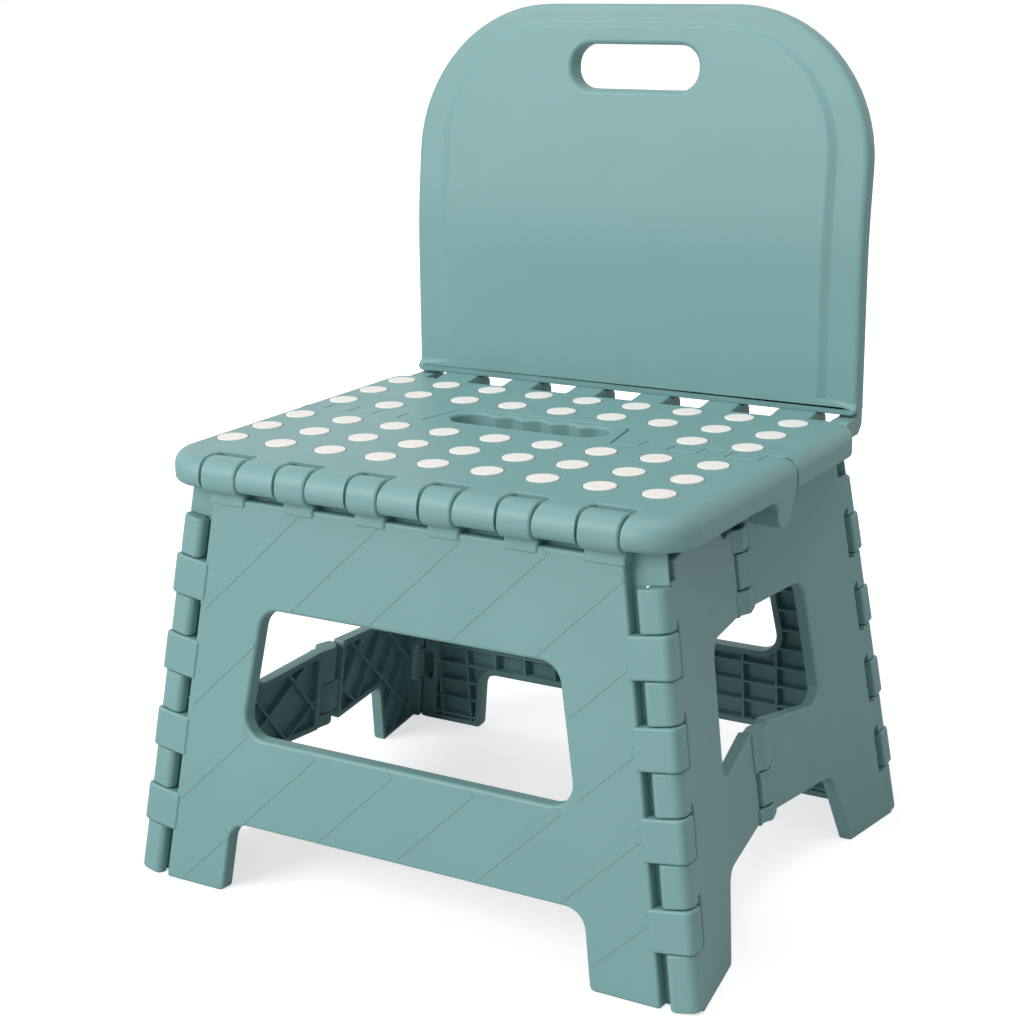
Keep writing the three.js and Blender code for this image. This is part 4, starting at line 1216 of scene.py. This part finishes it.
@dataclass
class Seat:
    """The two seat halves with their fingers, knuckle notches, grip plate and dots."""

    depth: float = 15.4
    skin: float = 4.0
    wall: float = 4.5
    corner: float = 25.0
    nose_under: float = 5.6
    side_under: float = 2.6
    centre_z: float = 198.5
    lobe: float = 9.0
    pattern_x: float = -8.4
    seam_front: float = 2.1
    seam_rear: float = 13.0
    tip_gap: float = 1.0
    starts: tuple[float, ...] = (-133.0, -116.0, -100.9, -85.4, -69.6, 69.6, 85.4, 100.9,
                                 116.0, 133.0)
    middle: int = 4
    notch: float = 9.9
    notch_roll: float = 1.6
    plate_half: float = 55.0
    plate_rear: float = 36.0
    plate_slant: float = 6.0
    plate_round: float = 7.0
    slot_half: float = 45.0
    slot_y: tuple[float, float] = (6.0, 30.0)
    slot_waves: int = 4
    wave: float = 4.2
    rear_y: float = 93.0
    rear_corner: tuple[float, float] = (95.0, 12.0)
    lip_rise: float = 1.3
    dot_radius: float = 7.8
    dot_pitch: float = 29.6
    dot_proud: float = 0.4
    front_rows: tuple[float, ...] = (-74.6, -45.7, -16.8)
    rear_rows: tuple[float, ...] = (23.2, 52.1, 81.0)
    side_roll: float = 7.5
    left_roll: float = 4.8
    tight: float = 0.6
    end_radius: float = 12.2
    end_centre: float = 208.2
    end_tail: float = 34.0
    end_width: float = 6.0
    tongue_ridge: tuple[float, float, float] = (107.4, 106.6, 105.2)
    tongue_slope_y: float = 97.0
    dot_under: float = 5.6
    runner_inset: float = 3.0

    @property
    def top(self) -> float:
        """Height of the seat's top face."""
        return AXES.seat_top

    @property
    def bottom(self) -> float:
        """Height of the seat's lower face."""
        return self.top - self.depth

    def fingers(self, front: bool) -> list[tuple[float, float]]:
        """Gives the edges of one half's fingers; the grip plate stands in the middle one's place."""
        edges = [self.pattern_x + start for start in self.starts] + [AXES.half_width]
        edges[0] = -AXES.half_width
        spans = list(zip(edges, edges[1:]))
        sides = [i % 2 == 1 for i in range(len(spans))]
        return [s for i, s in enumerate(spans) if i != self.middle and sides[i] == front]

    def dots(self, rows: Sequence[float]) -> list[tuple[float, float]]:
        """Gives the places of the dots of some rows; the first rear row stops at the plate."""
        places = []
        for y in rows:
            kept = [i for i in range(-4, 5) if y != self.rear_rows[0] or abs(i) > 2]
            places += [(self.pattern_x + i * self.dot_pitch, y) for i in kept]
        return places

    def dot_holes(self, rows: Sequence[float]) -> list[list[Node]]:
        """Draws the holes that the dots sit in."""
        return [reversed_loop(circle(self.dot_radius + 0.3, x, y, 0.3, 32))
                for x, y in self.dots(rows)]

    def slot_loop(self) -> list[Node]:
        """Draws the hand slot, with four shallow finger waves along its rear edge."""
        left, right = self.pattern_x - self.slot_half, self.pattern_x + self.slot_half
        low, high = self.slot_y
        radius = (high - low) / 2.0
        middle = (low + high) / 2.0
        places = arc(right - radius, middle, radius, -math.pi / 2, math.pi, 12)
        width = right - left - 2.0 * radius
        waves = 6 * self.slot_waves
        for k in range(1, waves):
            share = k / waves
            dip = math.sin(math.pi * share * self.slot_waves) ** 2
            places.append((right - radius - width * share, high - self.wave * dip))
        places += arc(left + radius, middle, radius, math.pi / 2, math.pi, 12)
        return reversed_loop([Node(x, y, 1.6) for x, y in places])

    def comb(self, spans: Sequence[tuple[float, float]], base: float, tip: float,
             rearwards: bool) -> list[Corner]:
        """Draws fingers along the seam.

        Args:
            spans: Left and right edge of each finger, from the left.
            base: Where the fingers start.
            tip: Where they end.
            rearwards: Whether the outline runs from right to left.

        Returns:
            Corners in the order of the outline.
        """
        gap = AXES.gap / 2
        corners: list[Corner] = []
        for low, high in spans:
            edge_low = low if low <= -AXES.half_width else low + gap
            edge_high = high if high >= AXES.half_width else high - gap
            if edge_low > -AXES.half_width:
                corners.append((edge_low, base, 0.0, self.tight))
            corners.append((edge_low, tip, 1.2, self.tight))
            corners.append((edge_high, tip, 1.2, self.tight))
            if edge_high < AXES.half_width:
                corners.append((edge_high, base, 0.0, self.tight))
        return corners[::-1] if rearwards else corners

    def front_half(self) -> None:
        """Builds the front half: nose, notches, fingers, grip plate and lobes."""
        half, gap = AXES.half_width, AXES.gap
        front_y = -AXES.hinge_y - AXES.nose
        notch_y = -AXES.hinge_y + self.notch
        bend_y = -AXES.hinge_y
        nose = (AXES.nose, self.nose_under)
        side = (self.side_roll, self.side_under)
        cut = self.notch_roll
        corners: list[Corner] = [(-half, front_y, self.corner, *nose)]
        for a, b in AXES.knuckles:
            left, right = a - gap / 2, b + gap / 2
            corners += [
                (left, front_y, 0.0, cut), (left, bend_y, 0.0, cut),
                (left, notch_y, 2.0, self.tight), (right, notch_y, 2.0, cut),
                (right, bend_y, 0.0, cut), (right, front_y, 0.0, *nose),
            ]
        corners.append((half, front_y, self.corner, *side))
        base = self.seam_front - 2.0 * gap
        spans = self.fingers(True)
        right_spans = [s for s in spans if s[0] > 0.0]
        left_spans = [s for s in spans if s[0] < 0.0]
        corners += self.comb(right_spans, base, self.seam_rear, True)
        plate, rear = self.plate_half - gap, self.plate_half - self.plate_slant - gap
        x = self.pattern_x
        corners += [
            (x + plate, base, 0.0, self.tight),
            (x + plate, self.seam_front, 0.0, self.tight),
            (x + rear, self.plate_rear - gap, self.plate_round, self.tight),
            (x - rear, self.plate_rear - gap, self.plate_round, self.tight),
            (x - plate, self.seam_front, 0.0, self.tight),
            (x - plate, base, 0.0, self.tight),
        ]
        corners += self.comb(left_spans, base, self.seam_rear, True)
        corners.append((-half, base, 0.0, self.left_roll, self.side_under))
        plan = outline(corners, self.tight, 8)
        low_y = -AXES.hinge_y + AXES.nose + self.wall
        pocket = outline([
            (-half + self.wall, low_y, 6.0), (half - self.wall, low_y, 6.0),
            (half - self.wall, -self.lobe - self.wall, 2.0),
            (-half + self.wall, -self.lobe - self.wall, 2.0)], POCKET_ROLL)
        self.half("front_seat_half", "front_seat", plan, [pocket], self.front_rows,
                  self.slot_loop(), spans)

    def rear_half(self) -> None:
        """Builds the rear half: fingers, the bay for the grip plate, and the tongues."""
        half, gap = AXES.half_width, AXES.gap
        x = self.pattern_x
        plate, rear = self.plate_half + gap, self.plate_half - self.plate_slant + gap
        spans = self.fingers(False)
        left_spans = [s for s in spans if s[0] < 0.0]
        right_spans = [s for s in spans if s[0] > 0.0]
        base = self.seam_rear + self.tip_gap
        inner = [x + start for start in self.starts[self.middle:self.middle + 2]]
        corners: list[Corner] = self.comb(left_spans, base, self.seam_front, False)
        corners += [
            (inner[0] + gap / 2, base, 0.0, self.tight),
            (inner[0] + gap / 2, self.seam_front, 1.2, self.tight),
            (x - plate, self.seam_front, 0.0, self.tight),
            (x - rear, self.plate_rear + gap, self.plate_round, self.tight),
            (x + rear, self.plate_rear + gap, self.plate_round, self.tight),
            (x + plate, self.seam_front, 0.0, self.tight),
            (inner[1] - gap / 2, self.seam_front, 1.2, self.tight),
            (inner[1] - gap / 2, base, 0.0, self.tight),
        ]
        corners += self.comb(right_spans, base, self.seam_front, False)
        side = (self.side_roll, self.side_under)
        corners.append((half, base, 0.0, *side))
        end_y, end_round = self.rear_corner
        outer = AXES.edges[2][1]
        corners += [
            (half, end_y, end_round, self.tight), (outer, end_y, 0.0, self.tight),
            (outer, self.rear_y, 0.0, self.tight), (-outer, self.rear_y, 0.0, self.tight),
            (-outer, end_y, 0.0, self.tight),
            (-half, end_y, end_round, self.left_roll, self.side_under),
        ]
        plan = outline(corners, self.tight, 8)
        wall = self.wall
        bay, bay_y = self.plate_half + wall, self.plate_rear + wall
        low_y, high_y = base + wall, self.rear_y - wall
        pocket = outline([
            (-half + wall, low_y, 2.0), (x - bay, low_y, 2.0), (x - bay, bay_y, 2.0),
            (x + bay, bay_y, 2.0), (x + bay, low_y, 2.0), (half - wall, low_y, 2.0),
            (half - wall, high_y, 2.0), (-half + wall, high_y, 2.0)], POCKET_ROLL)
        self.half("rear_seat_half", "rear_seat", plan, [pocket], self.rear_rows, None, spans)

    def half(self, name: str, rides: str, plan: list[Node], pocket: list[list[Node]],
             rows: Sequence[float], slot: list[Node] | None,
             spans: Sequence[tuple[float, float]]) -> None:
        """Builds one half from its outline and hands it over with its dots.

        Args:
            name: Name of the half.
            rides: The body that it moves with.
            plan: Its outline.
            pocket: The hollows under it, anticlockwise.
            rows: Rows of dots.
            slot: The hand slot, if it has one.
            spans: The fingers that carry a hinge lobe.
        """
        body = Body()
        loops = [plan, slot] if slot else [plan]
        body.add(self.skin_slab(loops, self.dot_holes(rows), [reversed_loop(p) for p in pocket]))
        body.add(self.under_ribs(pocket, rows))
        for low, high in spans:
            body.add(self.lobe_shell(low, high))
        if slot:
            body.add(self.end_lobe())
            body.add(self.end_lobe(), MIRROR_X)
        else:
            for low, high in AXES.knuckles:
                body.add(self.tongue(low, high))
        piece(name, body, Slot.SHELL, rides, name)
        dots_name = name.replace("seat_half", "grip_dots")
        piece(dots_name, self.dot_body(rows), Slot.DOTS, rides, dots_name)

    def skin_slab(self, loops: list[list[Node]], holes: list[list[Node]],
                  hollow: list[list[Node]]) -> Shell:
        """Builds the plate of a half, with dot holes from the hollow's ceiling to the top.

        Args:
            loops: The outline and the slot.
            holes: The dot holes, clockwise.
            hollow: The hollows under the plate, clockwise.

        Returns:
            The plate.
        """
        shell = Shell()
        tops, bottoms = shell.rims(loops, self.bottom, self.top, 7)
        ceiling = self.top - self.skin
        mouths = []
        for hole in holes:
            foot = shell.ring([Vector((n.x, n.y)) for n in hole], [ceiling] * len(hole))
            lip = shell.edge(hole, self.top, True, round_profile(2))
            shell.wall([foot, *lip])
            tops.append(lip[-1])
            mouths.append(foot)
        shell.cap(tops, up=True)
        shell.hollow(bottoms, hollow, self.bottom, ceiling, mouths)
        return shell

    def under_ribs(self, pocket: list[list[Node]], rows: Sequence[float]) -> Body:
        """Builds the ribs under a half, between its dots."""
        reach = AXES.half_width * 2.0
        xs = [self.pattern_x + (i + 0.5) * self.dot_pitch for i in range(-5, 5)]
        lines = [(Vector((x, -reach)), Vector((x, reach))) for x in xs]
        ys = [(a + b) / 2.0 for a, b in zip(rows, rows[1:])]
        lines += [(Vector((-reach, y)), Vector((reach, y))) for y in ys]
        height = self.depth - self.skin - 0.4
        middle = self.top - self.skin - height / 2 + RIB_SINK
        return bars(lines, rib_bounds(pocket, 0.0), middle, BarProfile(*RIB_WIDTHS, height))

    def lobe_shell(self, low: float, high: float) -> Body:
        """Builds the hinge lobe under a finger: a barrel about the axis, and an arm up from it.

        Args:
            low: Left edge of the finger.
            high: Its right edge.

        Returns:
            The lobe.
        """
        gap, end = AXES.gap / 2, AXES.half_width - 0.4
        arm, reach = self.lobe - 0.01, self.bottom - self.centre_z + 3.0
        first = -math.acos(arm / self.lobe)
        last = math.tau - math.acos(-arm / self.lobe)
        places = [(-arm, -reach), (arm, -reach),
                  *arc(0.0, 0.0, self.lobe, first, last - first, 22)]
        shape = [Node(x, -y, 0.9, 0.9) for x, y in reversed(places)]
        return slab_body([shape], max(low + gap, -end), min(high - gap, end), 3,
                         along_x(0.0, self.centre_z))

    def end_lobe(self) -> Body:
        """Builds the hooked lobe at the front half's right end, flush with its side."""
        radius, centre = self.end_radius, self.end_centre
        low, tail = self.bottom + 0.1, self.end_tail
        places: list[Corner] = [
            (-tail, self.bottom + 6.0), (-tail, low), (-radius - 2.0, low, 2.5),
            *arc(0.0, centre, radius, math.radians(203.0), math.radians(157.0), 14),
            (radius, self.bottom + 7.0)]
        outer = AXES.half_width - HAIR
        return slab_body([outline(places, 1.6, under=0.8)], AXES.half_width - self.end_width,
                         outer, 4, along_x(0.0, 0.0))

    def tongue(self, low: float, high: float) -> Body:
        """Builds a rear tongue, which climbs to its nose over the leg hinge."""
        gap = AXES.gap / 2
        nose_y = AXES.hinge_y + AXES.nose
        radius = AXES.nose
        places: list[Corner] = [
            (self.rear_y - self.wall, self.bottom + 0.2, 0.0),
            (AXES.hinge_y, AXES.hinge_z - radius, 0.0),
            *arc(AXES.hinge_y, AXES.hinge_z, radius, -math.pi / 2, math.pi / 2, 8)[1:],
        ]
        lip, (heel, crest, brow) = self.top + self.lip_rise, self.tongue_ridge
        places += [
            (nose_y - 0.4, self.top - 3.0, 2.0), (nose_y - 3.0, self.top - 0.1, 2.0),
            (heel, self.top - 0.1, 0.4), (crest, lip, 0.5), (brow, lip, 0.8),
            (self.tongue_slope_y, self.top + 0.05, 0.0),
            (self.rear_y - self.wall, self.top - 0.4, 0.0),
        ]
        return slab_body([outline(places, 0.9, 5, 0.9)], low + gap, high - gap, 3,
                         along_x(0.0, 0.0))

    def dot_body(self, rows: Sequence[float]) -> Body:
        """Builds the dots of a half and the runners that join them under the skin."""
        dot = slab_body([circle(self.dot_radius, 0.0, 0.0, 0.45, 40)], -self.dot_under,
                        self.dot_proud, 3)
        mesh = bpy.data.meshes.new("dot")
        mesh.from_pydata([tuple(p) for p in dot.points], [], dot.faces)
        shape = bpy.data.objects.new("dot", mesh)
        points = [Vector((x, y, self.top)) for x, y in self.dots(rows)]
        body = grown(TREES["dot"], points, [], {"Shape": shape, "Finish": FINISHES[Slot.DOTS]})
        bpy.data.objects.remove(shape)
        half = self.dot_radius - self.runner_inset
        left = self.pattern_x - 4 * self.dot_pitch
        right = self.pattern_x + 4 * self.dot_pitch
        strips = [(left, y - half, right, y + half) for y in rows if y != self.rear_rows[0]]
        links = [-4, -3, 3, 4] if rows == self.rear_rows else [0]
        for i in links:
            x = self.pattern_x + i * self.dot_pitch
            strips.append((x - half, rows[0], x + half, rows[-1]))
        ceiling = self.top - self.skin
        for x0, y0, x1, y1 in strips:
            corners = [(x0, y0), (x1, y0), (x1, y1), (x0, y1)]
            body.add(slab_body([outline(corners, 0.3, under=0.3)], ceiling - 2.0,
                               ceiling - 0.05, 2))
        return body

    def build(self) -> None:
        """Builds both halves."""
        self.front_half()
        self.rear_half()


# Backrest


@dataclass
class Backrest:
    """The backrest: a curved shell with a rim, a hand slot and two hinge ears."""

    pivot: tuple[float, float] = (101.0, 214.5)
    half: float = 133.0
    bottom_z: float = 220.7
    top_z: float = 425.5
    depth: float = 12.0
    skin: float = 4.0
    wall: float = 4.0
    top_round: float = 80.0
    face_offset: float = 6.7
    bend_z: tuple[float, float] = (290.0, 330.0)
    lean: float = 13.5
    band: tuple[float, float, float] = (22.0, 12.0, 4.0)
    band_steps: tuple[float, float, float] = (4.5, 6.0, 7.5)
    slot: tuple[float, float, float, float] = (37.2, 381.5, 405.0, 11.0)
    ear: tuple[float, float, float] = (122.5, 132.8, 4.7)
    ear_top: float = 240.0
    crease: tuple[tuple[float, float], ...] = (
        (0.0, 0.22), (0.01, 0.18), (0.04, 0.14), (0.09, 0.115), (0.16, 0.105), (0.5, 0.095),
        (0.72, 0.086), (0.79, 0.077), (0.9, 0.022), (0.96, 0.004), (1.0, 0.0))
    rib_shares: tuple[float, ...] = (-0.6, -0.2, 0.2, 0.6)

    @property
    def face_y(self) -> float:
        """Depth of the front face where it is straight."""
        return self.pivot[0] + self.face_offset

    def bend(self, z: float) -> float:
        """Gives how far the backrest leans back at a height: upright, a short bend, a slope."""
        start, end = self.bend_z
        slope = self.lean / (self.top_z - (start + end) / 2.0)
        if z >= end:
            return slope * (z - (start + end) / 2.0)
        return slope * max(0.0, z - start) ** 2 / (2.0 * (end - start))

    def plan(self) -> list[Node]:
        """Draws the outline, as seen from the front."""
        half, (side, top, bottom) = self.half, self.band
        between = (side + bottom) / 2.0
        low, mid, high = (self.bottom_z + rise for rise in self.band_steps)
        corners: list[Corner] = [
            (-half, self.bottom_z, 3.0, bottom, 0.8), (half, self.bottom_z, 3.0, bottom, 0.8),
            (half, low, 0.0, between), (half, mid, 0.0, side), (half, high, 0.0, side),
            (half, self.top_z, self.top_round, top), (-half, self.top_z, self.top_round, side),
            (-half, high, 0.0, side), (-half, mid, 0.0, between), (-half, low, 0.0, bottom)]
        return outline(corners, arc_steps=22, under=1.2)

    def slot_loop(self) -> list[Node]:
        """Draws the hand slot, with the panel on its left."""
        half, low, high, radius = self.slot
        corners = [(-half, low, radius), (half, low, radius), (half, high, radius),
                   (-half, high, radius)]
        return reversed_loop(outline(corners, 2.6, 8, 1.2))

    def panel(self) -> Body:
        """Builds the curved shell with its rim and ribs."""
        loops = [self.plan(), self.slot_loop()]
        high = -self.face_y
        body = slab_body(loops, high - self.depth, high, 5, None, pockets(loops, self.wall),
                         high - self.skin, self.crease)
        xs = [share * self.half for share in self.rib_shares]
        lines = [(Vector((x, 0.0)), Vector((x, 2.0 * self.top_z))) for x in xs]
        height = self.depth - self.skin - 0.2
        middle = high - self.skin - height / 2 + RIB_SINK
        body.add(bars(lines, rib_bounds(loops, self.wall), middle,
                      BarProfile(*RIB_WIDTHS, height)))
        return body

    def curved(self, body: Body) -> Body:
        """Cuts a flat body into strips and leans them back along the curve."""
        work = body.mesh()
        start, end = self.bend_z
        steps = 16
        for k in range(steps + 1):
            z = start + (end - start) * k / steps
            parts = [*work.verts, *work.edges, *work.faces]
            bmesh.ops.bisect_plane(work, geom=parts, plane_co=(0.0, 0.0, z), plane_no=(0, 0, 1))
        for vert in work.verts:
            vert.co.y += self.bend(vert.co.z)
        body.take(work)
        return body

    def ear_shell(self) -> Body:
        """Builds the right hinge ear."""
        y, z = self.pivot
        inner, outer, radius = self.ear
        rear = self.face_y + self.depth - 0.2
        face = self.face_y + 5.0
        places = [
            (rear, self.ear_top), (face, self.ear_top), (face, z + radius),
            *arc(y, z, radius, math.pi / 2, math.pi, 10), (rear - radius, z - radius), (rear, z)]
        return slab_body([outline(places, under=0.8)], inner, outer, 3, along_x(0.0, 0.0))

    def build(self) -> None:
        """Builds the backrest and hands it over."""
        flat = Body()
        flat.add(self.panel(), frame_at(Vector((0.0, 0.0, 0.0)), X_AXIS, Z_AXIS))
        whole = self.curved(flat)
        ear = self.ear_shell()
        whole.add(ear)
        whole.add(ear, MIRROR_X)
        piece("backrest_panel", whole, Slot.SHELL, "backrest", "backrest_panel")


# Rods and pins


@dataclass
class Rods:
    """The steel rods and pins of the hinges, with chamfered ends."""

    rod: float = 2.0
    corner_rod: float = 1.8
    inset: float = 1.2
    top_inset: float = 4.6
    gap: float = 1.0
    front_half: float = 117.0
    pivot_pin: tuple[float, float] = (105.0, 128.0)

    def round_bar(self, radius: float, place: Matrix, low: float, high: float) -> Body:
        """Builds a rod along a frame's z axis."""
        return slab_body([circle(radius, 0.0, 0.0, 0.4, 24)], low, high, 2, place)

    def build(self) -> None:
        """Builds every rod and pin and hands them over."""
        seat, pivot, (inner, outer) = Seat(), Backrest().pivot, self.pivot_pin
        hinge_y, hinge_z = AXES.hinge_y, AXES.hinge_z
        last = AXES.edges[2][1] - self.gap
        left = seat.pattern_x + seat.starts[seat.middle] - self.gap
        right = seat.pattern_x + seat.starts[seat.middle + 1] + self.gap
        half, front = AXES.half_width - self.gap, self.front_half
        spans = [
            ("front_seat_hinge_rod", "front_leg", -hinge_y, hinge_z, -front, front),
            ("rear_seat_hinge_rod", "rear_seat", hinge_y, hinge_z, -last, last),
            ("centre_hinge_pin_right", "front_seat", 0.0, seat.centre_z, right, half),
            ("centre_hinge_pin_left", "front_seat", 0.0, seat.centre_z, -half, left),
            ("backrest_pivot_pin_right", "backrest", *pivot, inner, outer),
            ("backrest_pivot_pin_left", "backrest", *pivot, -outer, -inner),
        ]
        for name, rides, y, z, low, high in spans:
            piece(name, self.round_bar(self.rod, along_x(y, z), low, high), Slot.STEEL,
                  rides, name)
        out = AXES.leg_out
        place = frame_at(AXES.corner_foot, out, AXES.corner_axis.cross(out))
        top = AXES.band_tops[-1] / AXES.corner_axis.z - self.top_inset
        corner = self.round_bar(self.corner_rod, place, self.inset, top)
        for side, x in (("right", 1.0), ("left", -1.0)):
            for end, y in (("front", 1.0), ("rear", -1.0)):
                name = f"{side}_{end}_corner_rod"
                piece(name, mirrored(corner, x, y), Slot.STEEL, f"{end}_leg", name)


# Stage


@dataclass
class Studio:
    """A pale floor, soft lamps and the camera of the photograph."""

    camera_at: tuple[float, float, float] = (482.4, -848.5, 450.7)
    azimuth: float = 30.07
    elevation: float = 15.55
    roll: float = -0.60
    focal_px: float = 1998.9
    image_px: float = 1024.0
    sensor: float = 36.0
    floor_half: float = 8.0
    floor_colour: str = "#D8D8D8"
    glow: float = 0.66
    glow_from: tuple[float, float] = (0.25, 0.8)
    surround: float = 0.36
    lamps: tuple[tuple[str, tuple[float, float, float], float, float], ...] = (
        ("key", (-1.3, -2.4, 1.6), 1.8, 62.0), ("top", (0.2, -0.3, 2.4), 1.6, 17.0))

    def camera(self) -> None:
        """Sets the camera where the photograph was taken from."""
        data = bpy.data.cameras.new("camera")
        data.sensor_width = self.sensor
        data.lens = self.focal_px / self.image_px * self.sensor
        data.clip_start, data.clip_end = 0.01, 50.0
        camera = new_object("camera", data)
        az, el = math.radians(self.azimuth), math.radians(self.elevation)
        back = Vector((math.sin(az) * math.cos(el), -math.cos(az) * math.cos(el), math.sin(el)))
        right = Vector((math.cos(az), math.sin(az), 0.0))
        up = back.cross(right)
        turn = math.radians(self.roll)
        side = right * math.cos(turn) + up * math.sin(turn)
        top = back.cross(side)
        place = Matrix((side, top, back)).transposed().to_4x4()
        camera.matrix_world = Matrix.Translation(Vector(self.camera_at) * MM) @ place
        bpy.context.scene.camera = camera

    def lamp(self, name: str, at: tuple[float, float, float], size: float, power: float) -> None:
        """Adds a square soft lamp that looks at the chair.

        Args:
            name: Name of the lamp.
            at: Its place in metres.
            size: Its side in metres.
            power: Its power in watts.
        """
        data = bpy.data.lights.new(name, "AREA")
        data.size, data.energy = size, power
        lamp = new_object(name, data)
        place = Vector(at)
        aim = (Vector((0.0, 0.0, 0.2)) - place).to_track_quat("-Z", "Y")
        lamp.matrix_world = Matrix.Translation(place) @ aim.to_matrix().to_4x4()

    def floor(self) -> None:
        """Lays the pale floor, which the camera sees as white."""
        size = self.floor_half
        mesh = bpy.data.meshes.new("floor")
        corners = [(-size, -size, 0.0), (size, -size, 0.0), (size, size, 0.0), (-size, size, 0.0)]
        mesh.from_pydata(corners, [], [(0, 1, 2, 3)])
        floor = new_object("floor", mesh)
        material, tree = blank_material("pale_studio_floor")
        matt = add_node(tree, "ShaderNodeBsdfDiffuse", {"Color": linear(self.floor_colour)})
        place = add_node(tree, "ShaderNodeTexCoord").outputs["Object"]
        away = add_node(tree, "ShaderNodeVectorMath", {0: place}, operation="LENGTH")
        near, far = self.glow_from
        fade = add_node(tree, "ShaderNodeMapRange", {
            "Value": away.outputs["Value"], "From Min": near, "From Max": far,
            "To Min": self.glow, "To Max": 1.0}, interpolation_type="SMOOTHSTEP")
        path = add_node(tree, "ShaderNodeLightPath")
        share = add_node(tree, "ShaderNodeMath", {
            0: fade.outputs["Result"], 1: path.outputs["Is Camera Ray"]}, operation="MULTIPLY")
        white = add_node(tree, "ShaderNodeEmission", {"Strength": share.outputs[0]})
        mix = add_node(tree, "ShaderNodeAddShader", {
            0: matt.outputs["BSDF"], 1: white.outputs[0]})
        add_node(tree, "ShaderNodeOutputMaterial", {"Surface": mix.outputs[0]})
        mesh.materials.append(material)

    def world(self) -> None:
        """Lights everything a little from all round, and shows white to the camera."""
        world = bpy.data.worlds.new("studio")
        bpy.context.scene.world = world
        world.use_nodes = True
        tree = world.node_tree
        tree.nodes.clear()
        path = add_node(tree, "ShaderNodeLightPath")
        direct = add_node(tree, "ShaderNodeMath", {
            0: path.outputs["Is Camera Ray"], 1: path.outputs["Is Glossy Ray"]},
            operation="MAXIMUM")
        seen = add_node(tree, "ShaderNodeMath", {
            0: direct.outputs[0], 1: path.outputs["Is Transmission Ray"]}, operation="MAXIMUM")
        soft = add_node(tree, "ShaderNodeBackground", {
            "Color": linear("#FFFFFF"), "Strength": self.surround})
        white = add_node(tree, "ShaderNodeBackground", {
            "Color": linear("#FFFFFF"), "Strength": 1.0})
        mix = add_node(tree, "ShaderNodeMixShader", {
            0: seen.outputs[0], 1: soft.outputs[0], 2: white.outputs[0]})
        add_node(tree, "ShaderNodeOutputWorld", {"Surface": mix.outputs[0]})

    def build(self) -> None:
        """Sets up the whole studio."""
        bpy.context.scene.view_settings.view_transform = "Standard"
        self.camera()
        self.floor()
        self.world()
        for lamp in self.lamps:
            self.lamp(*lamp)


def main() -> None:
    """Builds the chair, part by part."""
    logging.basicConfig(level=logging.INFO, format="%(name)s: %(message)s")
    FINISHES[Slot.SHELL] = MouldedPolypropylene().make()
    FINISHES[Slot.DOTS] = SoftElastomer().make()
    FINISHES[Slot.STEEL] = DrawnSteelRod().make()
    TREES["bar"] = bar_tree()
    TREES["dot"] = dot_tree()
    LegPanel("front_leg_panel", "front_leg").build()
    LegPanel("rear_leg_panel", "rear_leg", rear=True).build()
    SidePanel(front=True).build()
    SidePanel(front=False).build()
    Seat().build()
    Backrest().build()
    Rods().build()
    Studio().build()


if __name__ == "__main__":
    main()
